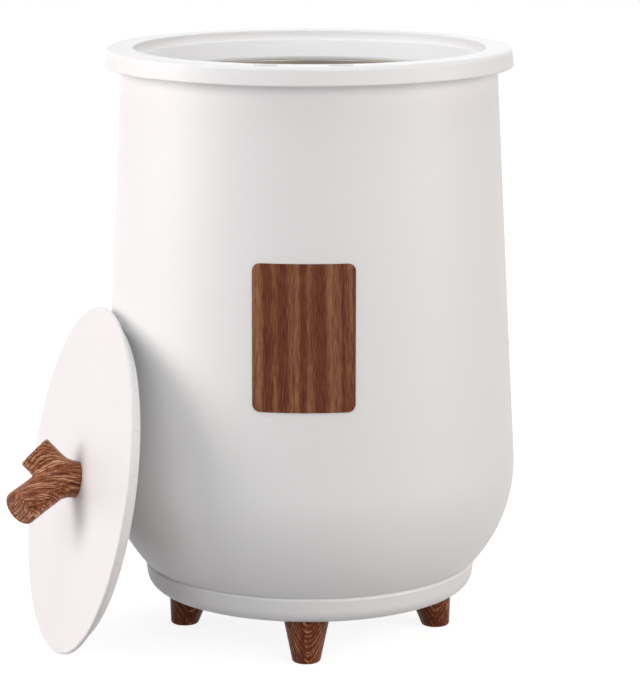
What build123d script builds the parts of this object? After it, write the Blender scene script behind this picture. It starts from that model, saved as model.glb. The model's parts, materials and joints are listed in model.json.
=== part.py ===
from build123d import *

import os
from math import atan2, cos, degrees, radians, sin, sqrt, tan

# Towel warmer bucket: a white moulded barrel on four wooden feet, with a metal chamber for
# rolled towels, a control rim with two push buttons, and a lid that leans against the barrel.
# Millimetres. Z is up, the floor is z = 0, the barrel's axis is Z and its front faces -Y.
# Angles round the barrel ("bearings") are counted from the front towards +X.

# ---- feet and base tray ----
foot_height = 38.5
foot_inset = 30.95
foot_tip_r = 11.6
foot_half_angle = 12.0
foot_splay = 10.0
foot_tip_round = 2.5
tray_height = 21.8
tray_proud = 0.3
tray_draft = 3.0
tray_wall = 3.0
tray_floor = 3.0
tray_edge_round = 12.0
tray_rim_round = 2.0
tray_bevel = 6.0
seam_gap = 0.4
vent_length = 34.0
vent_width = 3.0
vent_pitch = 8.0
vent_count = 5

# ---- barrel ----
shell_height = 408.7
shell_top_r = 152.0
shell_taper = 3.0
belly_height = 88.7
belly_arc_r = 120.0
shell_wall = 3.0
base_flange_width = 27.2
base_flange_t = 3.0
top_flange_t = 3.0
top_flange_reach = 3.0
spigot_depth = 7.0
part_gap = 0.3

# ---- control rim and the ring in the mouth ----
rim_depth = 15.0
rim_overhang = 13.0
rim_lean = 1.5
rim_wall = 3.0
rim_top_round = 3.5
rim_low_round = 1.2
mouth_step = 9.9
mouth_edge_round = 1.0
recess_depth = 8.0
ledge_width = 6.1
funnel_depth = 13.0
funnel_width = 7.5
lip_height = 3.0
collar_wall = 2.5
collar_foot_h = 2.0

# ---- chamber and what wraps it ----
pot_wall = 1.0
pot_lip_gap = 0.5
pot_flange = 5.0
pot_corner_r = 12.0
heater_t = 0.8
heater_low = 14.0
heater_high = 40.0
sleeve_t = 8.0
sleeve_low = 24.0
sleeve_top_gap = 6.0
wrap_gap = 0.25
shield_t = 1.2
shield_inset = 16.2
under_pad_t = 10.0
under_pad_window = (100.0, 54.0)

# ---- push buttons and lights ----
button_spacing = 58.0
button_length = 19.0
button_width = 12.0
button_gap = 0.25
button_lip = 0.8
button_lip_t = 1.2
button_proud = 0.4
button_dish = 0.5
light_spacing = 15.5
light_r = 1.2
light_head_r = 1.9
light_head_t = 1.2
led_height = 0.8

# ---- boards ----
control_board_t = 1.6
control_board_angle = 21.0
control_board_edge = 1.0
control_boss_r = 2.4
control_boss_bearing = 17.5
power_board_length = 96.0
power_board_width = 70.0
power_board_t = 1.6
power_board_lift = 6.0
power_board_hole_inset = 5.0
relay_size = (19.0, 15.5, 11.0)
terminal_size = (26.0, 9.0, 9.0)
capacitor_r = 5.0
capacitor_h = 12.0
capacitor_pitch = 12.0

# ---- screws ----
case_screw_inset = 19.2
case_head_sink = 7.5
case_screw_bite = 8.9
case_boss_h = 8.0
case_screw_r = 1.5
case_head_r = 3.0
case_head_t = 2.6
case_post_r = 5.2
foot_screw_r = 2.0
foot_head_r = 4.2
foot_head_t = 3.0
foot_screw_bite = 20.0
washer_r = 6.0
washer_t = 1.2
rim_screw_count = 6
rim_screw_bearing = 30.0
rim_screw_spare = 1.0
rim_screw_r = 1.5
rim_head_r = 2.7
rim_head_sink = 1.4
rim_post_r = 3.5
small_screw_r = 1.0
small_head_r = 1.8
small_head_t = 1.2
thread_gap = 0.02
hole_gap = 0.3

# ---- parts under the chamber and leads ----
thermostat_r = 8.0
thermostat_h = 9.0
thermostat_rim = 1.6
thermostat_rim_t = 1.2
sensor_spread = 38.0
fuse_r = 2.0
fuse_length = 12.0
fuse_wire_r = 0.5
fuse_wire_reach = 4.0
sensor_r = 2.4
sensor_length = 9.0
clip_t = 0.5
clip_width = 5.0
clip_tab = 8.0
lead_r = 1.1
sensor_lead_r = 0.8
lead_slot_width = 10.0
lead_slot_depth = 6.0
lead_bend_r = 6.0
harness_bend_r = 12.0
harness_sweep_r = 20.0
sensor_bend_r = 4.0
harness_r = 1.5
gland_bore_r = 3.4
gland_body_r = 4.8
gland_head_r = 6.2
gland_head_t = 2.2
gland_reach = 3.2
gland_height = 15.3
gland_boss_ring = 0.8
nut_t = 3.0

# ---- plaque on the front ----
badge_width = 79.8
badge_height = 115.2
badge_drop = 151.1
badge_gap = 0.25
badge_corner_r = 6.0
badge_t = 1.0

# ---- lid ----
lid_gap = 1.1
lid_plate_t = 3.2
lid_edge_round = 1.5
band_depth = 8.0
band_gap = 0.6
band_tip_gap = 1.1
band_edge_round = 0.8
lid_base_t = 2.0
band_rib_count = 24
band_rib_width = 1.4
band_rib_length = 3.2
band_rib_proud = 0.6
lid_boss_r = 11.0
lid_boss_depth = 2.8
lid_well_wall = 2.0
lid_screw_inset = 29.0
lid_post_r = 4.0
lid_pad_gap = 0.1
lid_lean = 10.67
lid_bearing = -70.6
lid_turn = 0.85
lid_floor_gap = 0.2
lid_barrel_gap = 0.3

# ---- branch handle ----
stem_r = 15.0
branch_r = 14.8
fork_height = 14.2
long_arm = 49.8
short_arm = 30.4
long_arm_angle = 43.6
short_arm_angle = 41.5
short_arm_turn = -17.5
fork_turn = -44.3
arm_end_round = 2.4
handle_screw_r = 2.5
handle_head_r = 4.5
handle_head_t = 2.6
handle_washer_r = 7.0
insert_r = 4.0
insert_depth = 16.0
insert_start = 2.0

# ---- heights and radii that follow from the sizes above ----
rim_outer_r = shell_top_r + rim_overhang
mouth_r = shell_top_r - mouth_step
seam_z = foot_height + tray_height
shell_low_z = seam_z + seam_gap
flange_z = seam_z + shell_height
flange_top_z = flange_z + top_flange_t
rim_top_z = flange_z + rim_depth
web_z = rim_top_z - rim_wall
ledge_z = rim_top_z - recess_depth
funnel_low_z = ledge_z - funnel_depth
lip_z = funnel_low_z - lip_height
ledge_r = mouth_r - ledge_width
lip_r = ledge_r - funnel_width
pot_r = lip_r - pot_lip_gap
pot_outer_r = pot_r + pot_wall
belly_z = seam_z + belly_height
badge_low_z = rim_top_z - badge_drop - badge_height
case_head_z = foot_height + case_head_sink
base_flange_top = shell_low_z + base_flange_t
shield_top = base_flange_top + shield_t
pot_low_z = shield_top + under_pad_t
tray_floor_top = foot_height + tray_floor
skirt_inner_r = mouth_r + rim_wall
channel_r = (skirt_inner_r + rim_outer_r - rim_lean - rim_wall) / 2
control_board_z = flange_top_z + collar_foot_h + part_gap
control_board_top = control_board_z + control_board_t
button_lip_z = web_z - button_lip_t
power_board_z = tray_floor_top + power_board_lift
power_board_top = power_board_z + power_board_t


def barrel_r(z):
    """Outer radius of the barrel wall at height z, on its straight stretch."""
    return shell_top_r + (flange_z - z) * tan(radians(shell_taper))


def barrel_arc():
    """Centre (r, z) of the belly's arc, which runs on from the straight stretch."""
    lean = radians(shell_taper)
    return (barrel_r(belly_z) - belly_arc_r * cos(lean), belly_z - belly_arc_r * sin(lean))


def belly_r(z, inset=0.0):
    """Radius of the belly's arc at height z, inset by so much."""
    centre_r, centre_z = barrel_arc()
    return centre_r + sqrt((belly_arc_r - inset) ** 2 - (z - centre_z) ** 2)


def funnel_r(depth):
    """Radius of the mouth's funnel at a depth below the ledge."""
    return ledge_r - funnel_width * depth / funnel_depth


shell_bottom_r = belly_r(shell_low_z)
base_flange_r = shell_bottom_r - base_flange_width
shield_r = shell_bottom_r - shield_inset
case_screw_circle_r = shell_bottom_r - case_screw_inset
under_pad_r = case_screw_circle_r - case_post_r
foot_circle_r = shell_bottom_r - foot_inset
tray_outer_r = shell_bottom_r + tray_proud
tray_inner_r = tray_outer_r - tray_wall
rim_inner_r = rim_outer_r - rim_lean * top_flange_t / rim_depth - rim_wall
flange_outer_r = rim_inner_r - part_gap


def at_bearing(shape, bearing):
    """Turn a shape that lies at the front (-Y) to a bearing round the barrel."""
    return Rot(0, 0, bearing) * shape


def front_point(radius, z, sideways=0.0):
    """A point on the front side at a radius from the axis."""
    return (sideways, -sqrt(radius**2 - sideways**2), z)


def disc(radius, low, high, bore=0.0):
    """An upright cylinder or ring about the axis, from one height to another."""
    solid = Pos(0, 0, (low + high) / 2) * Cylinder(radius, high - low)
    if bore > 0:
        solid -= Pos(0, 0, (low + high) / 2) * Cylinder(bore, high - low + 2)
    return solid


def peg(x, y, low, high, radius):
    """An upright cylinder at x, y, from one height to another."""
    return Pos(x, y, (low + high) / 2) * Cylinder(radius, high - low)


def block(x, y, low, size):
    """A box of the given size that stands at x, y on a height."""
    return Pos(x, y, low + size[2] / 2) * Box(*size)


def turned(points):
    """The solid swept by a closed outline of (radius, height) points round the axis."""
    outline = Polyline(*points, close=True)
    return revolve(Plane.XZ * make_face(outline), Axis.Z)


def circle_edges(solid, radius, z):
    """The solid's circular edges about the axis with a radius, at a height."""
    found = []
    for edge in solid.edges().filter_by(GeomType.CIRCLE):
        centre = edge.arc_center
        if abs(centre.X) + abs(centre.Y) > 0.01:
            continue
        if abs(edge.radius - radius) < 0.01 and abs(centre.Z - z) < 0.01:
            found.append(edge)
    return found


def ring_places(count, radius, first=0.0):
    """Points (x, y) spaced evenly round the axis, the first at a bearing from the front."""
    places = []
    for index in range(count):
        angle = radians(first + index * 360 / count)
        places.append((radius * sin(angle), -radius * cos(angle)))
    return places


def screw(x, y, head_z, tip_z, shank_r, head_r, head_t):
    """A pan-head screw whose head bears at head_z and whose shank ends at tip_z."""
    away = 1 if head_z > tip_z else -1
    head_low = min(head_z, head_z + away * head_t)
    head = peg(x, y, head_low, head_low + head_t, head_r)
    shank = peg(x, y, min(head_z, tip_z), max(head_z, tip_z), shank_r)
    slot_low = head_low - 0.01 + (head_t * 0.5 if away > 0 else 0)
    slot = block(x, y, slot_low, (head_r * 1.3, 0.7, head_t * 0.5 + 0.02))
    return head + shank - slot


def sunk_head(x, y, low, spare=0.0):
    """The cone of a rim screw's countersunk head, flush with low, wider all round by a spare."""
    cone = Cone(rim_head_r + spare, rim_screw_r + spare, rim_head_sink)
    return Pos(x, y, low + rim_head_sink / 2) * cone


def compound(shapes):
    """Several separate solids as one group."""
    solids = []
    for shape in shapes:
        solids += shape.solids()
    return Compound(children=solids)


# ---- barrel ----


def wall_face(inset_out, inset_in, low, high):
    """Half section of the barrel wall between two insets, from a low to a high height."""
    lean = radians(shell_taper)
    centre_r, centre_z = barrel_arc()

    def straight_end(inset):
        reach = belly_arc_r - inset
        return (centre_r + reach * cos(lean), centre_z + reach * sin(lean))

    def straight_top(inset):
        return (barrel_r(high) - inset / cos(lean), high)

    def low_end(inset):
        return (belly_r(low, inset), low)

    def arc_middle(inset):
        start = atan2(low - centre_z, low_end(inset)[0] - centre_r)
        angle = (start + lean) / 2
        reach = belly_arc_r - inset
        return (centre_r + reach * cos(angle), centre_z + reach * sin(angle))

    edges = [
        Line(straight_top(inset_out), straight_end(inset_out)),
        ThreePointArc(straight_end(inset_out), arc_middle(inset_out), low_end(inset_out)),
        Line(low_end(inset_out), low_end(inset_in)),
        ThreePointArc(low_end(inset_in), arc_middle(inset_in), straight_end(inset_in)),
        Line(straight_end(inset_in), straight_top(inset_in)),
        Line(straight_top(inset_in), straight_top(inset_out)),
    ]
    return make_face(edges)


def harness_slot(inner_r, outer_r, low, high, bearing=0.0):
    """The box cut out of a ring to let a lead through."""
    size = (lead_slot_width, outer_r - inner_r, high - low)
    slot = Pos(0, -(inner_r + outer_r) / 2, (low + high) / 2) * Box(*size)
    return at_bearing(slot, bearing)


def make_outer_shell():
    """Barrel wall with a flange at each end, a spigot below and bosses for the case screws."""
    shell = revolve(Plane.XZ * wall_face(0.0, shell_wall, shell_low_z, flange_z), Axis.Z)
    inner_top_r = shell_top_r - shell_wall / cos(radians(shell_taper))
    shell += disc(flange_outer_r, flange_z, flange_top_z, inner_top_r - top_flange_reach)
    shell += disc(shell_bottom_r - 1, shell_low_z, base_flange_top, base_flange_r)
    spigot_r = tray_inner_r - part_gap
    shell += disc(spigot_r, shell_low_z - spigot_depth, shell_low_z + 1, spigot_r - shell_wall)
    for x, y in ring_places(4, case_screw_circle_r, 45):
        shell += peg(x, y, shell_low_z, base_flange_top + case_boss_h, case_post_r - part_gap)
    for x, y in ring_places(4, case_screw_circle_r, 45):
        shell -= peg(x, y, shell_low_z - 1, base_flange_top + case_boss_h - 1.5, case_screw_r + thread_gap)
    for x, y in ring_places(4, shield_screw_r(), 0):
        shell -= peg(x, y, shell_low_z - 1, base_flange_top + 1, small_screw_r + thread_gap)
    for x, y in rim_screw_places():
        shell -= peg(x, y, flange_z - 1, flange_top_z + 1, rim_screw_r + hole_gap)
        shell -= sunk_head(x, y, flange_z, hole_gap)
    for side in (-1, 1):
        x, y = control_boss_place(side)
        boss = peg(x, y, flange_top_z - 0.5, control_board_z, control_boss_r)
        shell += boss - peg(x, y, flange_top_z, control_board_z + 1, small_screw_r + thread_gap)
    shell -= harness_slot(inner_top_r - top_flange_reach - 1, inner_top_r, flange_z - 1, flange_top_z + 1)
    slot_outer_r = spigot_r - shell_wall
    slot_inner_r = slot_outer_r - lead_slot_depth
    for bearing in (0, 180):
        shell -= harness_slot(slot_inner_r, slot_outer_r, shell_low_z - 1, base_flange_top + 1, bearing)
    gland_room = Box(2 * (gland_head_r + gland_boss_ring) + 2, 20, spigot_depth + 1)
    shell -= Pos(0, spigot_r, shell_low_z - (spigot_depth + 1) / 2) * gland_room
    return shell


def shield_screw_r():
    """Radius of the circle of the heat shield's screws, between its rim and the flange's bore."""
    return (base_flange_r + shield_r) / 2


def channel_mid_r():
    """Radius of the rim screws: the middle of the gap outside the barrel wall, under the rim."""
    return (shell_top_r + rim_outer_r - rim_wall) / 2


def rim_screw_places():
    """Places (x, y) of the screws between the barrel's top flange and the rim."""
    return ring_places(rim_screw_count, channel_mid_r(), rim_screw_bearing)


def lead_slot_r():
    """Radius at which leads pass the barrel's lower flange: the middle of its slots."""
    return tray_inner_r - part_gap - shell_wall - lead_slot_depth / 2


def control_boss_place(side):
    """Where the board's boss stands, left (-1) or right (1) of the middle."""
    bearing = radians(side * control_boss_bearing)
    return (channel_r * sin(bearing), -channel_r * cos(bearing))


# ---- base tray and feet ----


def make_base_tray():
    """Ring and floor in one moulding, with screw posts, board posts, vents and a lead hole."""
    low_r = tray_outer_r - tray_draft
    ring = turned([(0, foot_height), (low_r, foot_height), (tray_outer_r, seam_z), (0, seam_z)])
    ring = fillet(circle_edges(ring, low_r, foot_height), tray_edge_round)
    ring = fillet(circle_edges(ring, tray_outer_r, seam_z), tray_rim_round)
    inner_low_r = tray_inner_r - tray_draft
    hollow = turned(
        [
            (0, tray_floor_top),
            (inner_low_r - tray_bevel, tray_floor_top),
            (inner_low_r, tray_floor_top + tray_bevel),
            (tray_inner_r, seam_z - spigot_depth),
            (tray_inner_r, seam_z + 1),
            (0, seam_z + 1),
        ]
    )
    tray = ring - hollow
    for x, y in ring_places(4, case_screw_circle_r, 45):
        tray += peg(x, y, foot_height + 1, shell_low_z, case_post_r)
    for x, y in ring_places(4, case_screw_circle_r, 45):
        tray -= peg(x, y, foot_height - 1, case_head_z, case_head_r + hole_gap)
        tray -= peg(x, y, foot_height, shell_low_z + 1, case_screw_r + hole_gap)
    for x, y in ring_places(4, foot_screw_circle_r(), 0):
        tray -= peg(x, y, foot_height - 1, tray_floor_top + 1, foot_screw_r + hole_gap)
    for x, y in board_hole_places():
        tray += peg(x, y, foot_height + 1, power_board_z, 3.0)
    for x, y in board_hole_places():
        tray -= peg(x, y, tray_floor_top, power_board_z + 1, small_screw_r + thread_gap)
    for side in (-1, 1):
        for index in range(vent_count):
            y = (index - (vent_count - 1) / 2) * vent_pitch
            slot = extrude(SlotOverall(vent_length, vent_width), tray_floor + 2)
            x = side * (power_board_length / 2 + vent_length / 2 + 2) * 0.9
            tray -= Pos(x, y, foot_height - 1) * slot
    boss_t = gland_seat_reach() - 0.5 - gland_nut_reach()
    boss = Cylinder(gland_head_r + gland_boss_ring, boss_t)
    tray += gland_axis(gland_nut_reach() + boss_t / 2) * boss & disc(tray_outer_r, foot_height, seam_z)
    tray -= gland_axis(tray_outer_r) * Cylinder(gland_body_r + 0.05, 8 * tray_wall)
    recess = Cylinder(gland_head_r + 0.2, 2 * tray_wall)
    tray -= gland_axis(gland_seat_reach() + tray_wall) * recess
    tray -= gland_axis(gland_nut_reach() - tray_wall) * recess
    return tray


def foot_screw_circle_r():
    """Radius of the feet's centres where they meet the tray."""
    return foot_circle_r - foot_height * tan(radians(foot_splay))


def make_foot():
    """Front foot: a splayed cone cut flat by the floor and the tray, drilled for its screw."""
    length = foot_height * 2
    spread = tan(radians(foot_half_angle))
    cone = Cone(foot_tip_r - length / 4 * spread, foot_tip_r + length * 3 / 4 * spread, length)
    cone = Pos(0, 0, length / 4) * cone
    foot = Pos(0, -foot_circle_r, 0) * Rot(-foot_splay, 0, 0) * cone
    foot &= Pos(0, -foot_circle_r, foot_height / 2) * Box(120, 120, foot_height)
    tip_edges = foot.edges().group_by(Axis.Z)[0]
    foot = fillet(tip_edges, foot_tip_round)
    hole_top = foot_height + 1
    x, y = 0, -foot_screw_circle_r()
    foot -= peg(x, y, foot_height - foot_screw_bite - 2, hole_top, foot_screw_r + thread_gap)
    return foot


def make_foot_screws():
    """One screw down into each foot from inside the tray."""
    head_z = tray_floor_top + washer_t
    tip_z = foot_height - foot_screw_bite
    places = ring_places(4, foot_screw_circle_r(), 0)
    return compound([screw(x, y, head_z, tip_z, foot_screw_r, foot_head_r, foot_head_t) for x, y in places])


def make_foot_washers():
    """A washer under the head of each foot screw."""
    washers = []
    for x, y in ring_places(4, foot_screw_circle_r(), 0):
        washer = peg(x, y, tray_floor_top, tray_floor_top + washer_t, washer_r)
        washers.append(washer - peg(x, y, 0, seam_z, foot_screw_r + 0.05))
    return compound(washers)


def make_case_screws():
    """Four screws that hold the tray to the barrel, their heads sunk in the tray's posts."""
    tip_z = shell_low_z + case_screw_bite
    places = ring_places(4, case_screw_circle_r, 45)
    sizes = (case_screw_r, case_head_r, case_head_t)
    return compound([screw(x, y, case_head_z, tip_z, *sizes) for x, y in places])


# ---- cord gland ----


def gland_axis(reach):
    """Place of something on the rear lead inlet's axis, at a reach from the barrel's axis."""
    return Pos(0, reach, foot_height + gland_height) * Rot(-90, 0, 0)


def gland_seat_reach():
    """Reach of the flat that the gland's head bears on, cut in from the tray's rounded lower edge."""
    rise = tray_edge_round - (gland_height - gland_head_r)
    round_r = tray_outer_r - tray_draft - tray_edge_round
    return round_r + sqrt(tray_edge_round**2 - rise**2) - 0.2


def make_cord_gland():
    """Rubber bush through the tray's rear wall, with a head outside and a neck inside."""
    seat = gland_seat_reach()
    head = gland_axis(seat + gland_head_t / 2) * Cylinder(gland_head_r, gland_head_t)
    head = fillet(head.edges().sort_by(Axis.Y)[-1], 0.8)
    length = seat - gland_nut_reach() + gland_reach
    body = gland_axis(seat - length / 2) * Cylinder(gland_body_r, length)
    bore = gland_axis(seat) * Cylinder(gland_bore_r, 4 * length)
    return head + body - bore


def gland_nut_reach():
    """Reach of the flat inside the wall that the gland's nut bears on."""
    return tray_inner_r - tray_draft


def make_gland_nut():
    """Hexagonal nut that holds the gland from inside."""
    nut = extrude(RegularPolygon(gland_head_r, 6), nut_t)
    nut = gland_axis(gland_nut_reach() - nut_t) * nut
    return nut - gland_axis(gland_nut_reach()) * Cylinder(gland_body_r + 0.05, 4 * nut_t)


# ---- control rim and mouth ring ----


def button_place(side):
    """Frame of the left (-1) or right (1) button: its centre in the rim's top plane."""
    bearing = side * degrees(atan2(button_spacing / 2, channel_r))
    return Rot(0, 0, bearing) * Pos(0, -channel_r, 0)


def make_top_rim():
    """Control rim: a hollow ring with a leaning side, a flat top, button holes and posts."""
    lean = rim_lean / rim_depth
    inside_top = rim_outer_r - rim_lean * (web_z - flange_z) / rim_depth - rim_wall
    rim = turned(
        [
            (rim_outer_r, flange_z),
            (rim_outer_r - lean * rim_depth, rim_top_z),
            (mouth_r, rim_top_z),
            (mouth_r, ledge_z),
            (skirt_inner_r, ledge_z),
            (skirt_inner_r, web_z),
            (inside_top, web_z),
            (rim_outer_r - rim_wall, flange_z),
        ]
    )
    rim = fillet(circle_edges(rim, rim_outer_r - rim_lean, rim_top_z), rim_top_round)
    rim = fillet(circle_edges(rim, mouth_r, rim_top_z), mouth_edge_round)
    rim = fillet(circle_edges(rim, rim_outer_r, flange_z), rim_low_round)
    for x, y in rim_screw_places():
        rim += peg(x, y, flange_top_z, web_z + 1, rim_post_r)
    for x, y in rim_screw_places():
        rim -= peg(x, y, flange_top_z - 1, web_z - 1, rim_screw_r + thread_gap)
    for side in (-1, 1):
        hole = Ellipse(button_length / 2 + button_gap, button_width / 2 + button_gap)
        rim -= button_place(side) * Pos(0, 0, web_z - 1) * extrude(hole, rim_wall + 2)
        x, y, _ = front_point(channel_r, 0, side * light_spacing / 2)
        rim -= peg(x, y, web_z - 1, rim_top_z + 1, light_r + 0.05)
    return rim


def make_inner_collar():
    """Ring in the mouth: the lid's ledge, a funnel wall, a lip and a foot on the barrel."""
    foot_r = inner_top_wall_r() + part_gap
    wall_r = skirt_inner_r + 0.9
    collar = turned(
        [
            (wall_r, ledge_z),
            (ledge_r, ledge_z),
            (lip_r, funnel_low_z),
            (lip_r, lip_z),
            (lip_r + collar_wall, lip_z),
            (lip_r + collar_wall, funnel_low_z - 0.4),
            (ledge_r + collar_wall - 0.5, ledge_z - collar_wall),
            (wall_r - collar_wall, ledge_z - collar_wall),
            (wall_r - collar_wall, flange_top_z),
            (foot_r, flange_top_z),
            (foot_r, flange_top_z + collar_foot_h),
            (wall_r, flange_top_z + collar_foot_h),
        ]
    )
    collar = fillet(circle_edges(collar, lip_r, lip_z), 1.2)
    collar = fillet(circle_edges(collar, ledge_r, ledge_z), 0.8)
    room_r = harness_top_r() - harness_r - part_gap
    return collar - harness_slot(room_r, foot_r + 1, flange_top_z - 1, flange_top_z + collar_foot_h + 1)


def harness_top_r():
    """Radius at which the harness comes up through the top flange."""
    return inner_top_wall_r() - harness_r - part_gap


def inner_top_wall_r():
    """Inner radius of the barrel wall at its top."""
    return shell_top_r - shell_wall / cos(radians(shell_taper))


def make_rim_screws():
    """Six countersunk screws up through the barrel's top flange into the rim's posts."""
    tip_z = web_z - 1 - rim_screw_spare
    slot = (rim_head_r * 1.3, 0.7, rim_head_sink)
    screws = []
    for x, y in rim_screw_places():
        shank = peg(x, y, flange_z, tip_z, rim_screw_r)
        screws.append(sunk_head(x, y, flange_z) + shank - block(x, y, flange_z - rim_head_sink / 2, slot))
    return compound(screws)


def make_button():
    """Oval cap with a shallow dish on top and a lip below that keeps it in the rim."""
    top_z = rim_top_z + button_proud
    cap = extrude(Ellipse(button_length / 2, button_width / 2), top_z - button_lip_z)
    cap = fillet(cap.edges().group_by(Axis.Z)[-1], 0.6)
    cap = Pos(0, 0, button_lip_z) * cap
    lip = Ellipse(button_length / 2 + button_lip, button_width / 2 + button_lip)
    cap += Pos(0, 0, button_lip_z) * extrude(lip, button_lip_t)
    dish_r = (button_width**2 / 4 + button_dish**2) / (2 * button_dish) * 2
    cap -= Pos(0, 0, top_z - button_dish + dish_r) * Sphere(dish_r)
    return cap


def make_dome():
    """Rubber dome between the board and a button: it buckles as the button goes down."""
    height = button_lip_z - control_board_top
    shell = Cone(4.6, 2.6, height) - Pos(0, 0, -0.8) * Cone(3.8, 1.6, height)
    return Pos(0, 0, control_board_top + height / 2) * shell


def board_arc_edges():
    """Inner and outer radius of the control board."""
    inner = inner_top_wall_r() - top_flange_reach + 0.6
    outer = rim_outer_r - rim_lean - rim_wall - control_board_edge
    return (inner, outer)


def make_control_board():
    """Curved circuit board in the rim's channel, behind the buttons."""
    inner, outer = board_arc_edges()
    board = disc(outer, control_board_z, control_board_top, inner)
    half = control_board_angle
    reach = outer * 1.2
    wedge = Polyline((0, 0), (-reach * sin(radians(half)), -reach * cos(radians(half))), (0, -reach * 1.2),
                     (reach * sin(radians(half)), -reach * cos(radians(half))), close=True)
    board &= Pos(0, 0, control_board_z - 1) * extrude(make_face(wedge), control_board_t + 2)
    for side in (-1, 1):
        x, y = control_boss_place(side)
        board -= peg(x, y, control_board_z - 1, control_board_top + 1, small_screw_r + 0.1)
    return board


def make_control_board_screws():
    """Two small screws that hold the control board on its bosses."""
    screws = []
    for side in (-1, 1):
        x, y = control_boss_place(side)
        tip_z = flange_top_z + 0.3
        screws.append(screw(x, y, control_board_top, tip_z, small_screw_r, small_head_r, small_head_t))
    return compound(screws)


def make_indicator_leds():
    """Two small lamps on the control board, under the light pipes."""
    leds = []
    for side in (-1, 1):
        x, y, _ = front_point(channel_r, 0, side * light_spacing / 2)
        leds.append(block(x, y, control_board_top, (2.0, 1.25, led_height)))
    return compound(leds)


def make_light_pipes():
    """Two clear pins that carry the lamps' light up through the rim."""
    pipes = []
    for side in (-1, 1):
        x, y, _ = front_point(channel_r, 0, side * light_spacing / 2)
        pipe = peg(x, y, control_board_top + led_height + part_gap, rim_top_z, light_r)
        pipes.append(pipe + peg(x, y, web_z - light_head_t, web_z, light_head_r))
    return compound(pipes)


# ---- chamber, heater and insulation ----


def make_inner_pot():
    """Spun aluminium chamber with a round lower corner and a flange under the mouth's lip."""
    outer = disc(pot_outer_r, pot_low_z, lip_z)
    outer = fillet(circle_edges(outer, pot_outer_r, pot_low_z), pot_corner_r)
    inner = disc(pot_r, pot_low_z + pot_wall, lip_z + 5)
    inner = fillet(circle_edges(inner, pot_r, pot_low_z + pot_wall), pot_corner_r - pot_wall)
    pot = outer + disc(pot_outer_r + pot_flange, lip_z - pot_wall, lip_z)
    return pot - inner


def make_heater_film():
    """Heating mat wrapped round the chamber, with a terminal tab at its lower rear edge."""
    inner = pot_outer_r + wrap_gap
    outer = inner + heater_t
    low = pot_low_z + heater_low
    film = disc(outer, low, lip_z - heater_high, inner)
    tab = at_bearing(Pos(0, -(outer + 0.5), low + 3) * Box(22, 2.2, 6), 180)
    tab -= disc(outer - 0.2, low - 5, low + 10)
    return film + tab


def make_insulation_sleeve():
    """Felt sleeve over the heater."""
    inner = pot_outer_r + heater_t + 2 * wrap_gap
    return disc(inner + sleeve_t, pot_low_z + sleeve_low, lip_z - sleeve_top_gap, inner)


def under_parts():
    """Places (x, y) of the thermostat, the fuse and the sensor under the chamber."""
    return ((0.0, 0.0), (sensor_spread, 0.0), (-sensor_spread, 0.0))


def make_insulation_disc():
    """Stiff pad under the chamber, with a window for the thermostat, fuse, sensor and leads."""
    pad = disc(under_pad_r, shield_top, pot_low_z)
    window = extrude(RectangleRounded(*under_pad_window, 10), under_pad_t + 2)
    return pad - Pos(0, 0, shield_top - 1) * window


def make_heat_shield():
    """Steel disc on the barrel's lower flange that carries the pad and the chamber."""
    shield = disc(shield_r, base_flange_top, shield_top)
    for x, y in ring_places(4, shield_screw_r(), 0):
        shield -= peg(x, y, base_flange_top - 1, shield_top + 1, small_screw_r + 0.1)
    for x, y in ring_places(4, case_screw_circle_r, 45):
        shield -= peg(x, y, base_flange_top - 1, shield_top + 1, case_post_r + 0.2)
    shield -= peg(0, lead_hole_y(), base_flange_top - 1, shield_top + 1, 4.5)
    return shield


def lead_hole_y():
    """How far behind the axis the sensor leads pass through the shield."""
    return thermostat_r + thermostat_rim + 3.0


def make_shield_screws():
    """Four screws that hold the heat shield on the barrel's lower flange."""
    places = ring_places(4, shield_screw_r(), 0)
    tip_z = shell_low_z - 1
    sizes = (small_screw_r, small_head_r, small_head_t)
    return compound([screw(x, y, shield_top, tip_z, *sizes) for x, y in places])


def make_thermostat():
    """Bimetal thermostat pressed to the chamber's bottom, with its two tabs."""
    x, y = under_parts()[0]
    body = peg(x, y, pot_low_z - thermostat_h, pot_low_z, thermostat_r)
    body += peg(x, y, pot_low_z - thermostat_rim_t, pot_low_z, thermostat_r + thermostat_rim)
    for side in (-1, 1):
        body += block(x + side * 3.5, y, shield_top + 0.5, (0.8, 5.0, under_pad_t - thermostat_h + 3))
    return body


def lying_peg(x, y, z, radius, length):
    """A cylinder that lies along Y."""
    return Pos(x, y, z) * Rot(90, 0, 0) * Cylinder(radius, length)


def held_z(radius):
    """Height of the axis of a part that a clip holds to the chamber's bottom."""
    return pot_low_z - clip_t - wrap_gap - radius


def make_thermal_fuse():
    """Thermal cut-off that lies under the chamber's bottom."""
    x, y = under_parts()[1]
    z = held_z(fuse_r)
    wire = lying_peg(x, y, z, fuse_wire_r, fuse_length + 2 * fuse_wire_reach)
    return lying_peg(x, y, z, fuse_r, fuse_length) + wire


def make_temperature_sensor():
    """Temperature sensor that lies under the chamber's bottom."""
    x, y = under_parts()[2]
    return lying_peg(x, y, held_z(sensor_r), sensor_r, sensor_length)


def make_sensor_clips():
    """Sprung strips that hold the fuse and the sensor to the chamber's bottom."""
    clips = []
    for (x, y), radius in zip(under_parts()[1:], (fuse_r, sensor_r)):
        z = held_z(radius)
        strap = lying_peg(x, y, z, radius + wrap_gap + clip_t, clip_width)
        strap += block(x, y, pot_low_z - clip_t, (2 * radius + 2 * clip_tab, clip_width, clip_t))
        clips.append(strap - lying_peg(x, y, z, radius + wrap_gap, 20))
    return compound(clips)


# ---- power board and leads ----


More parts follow.
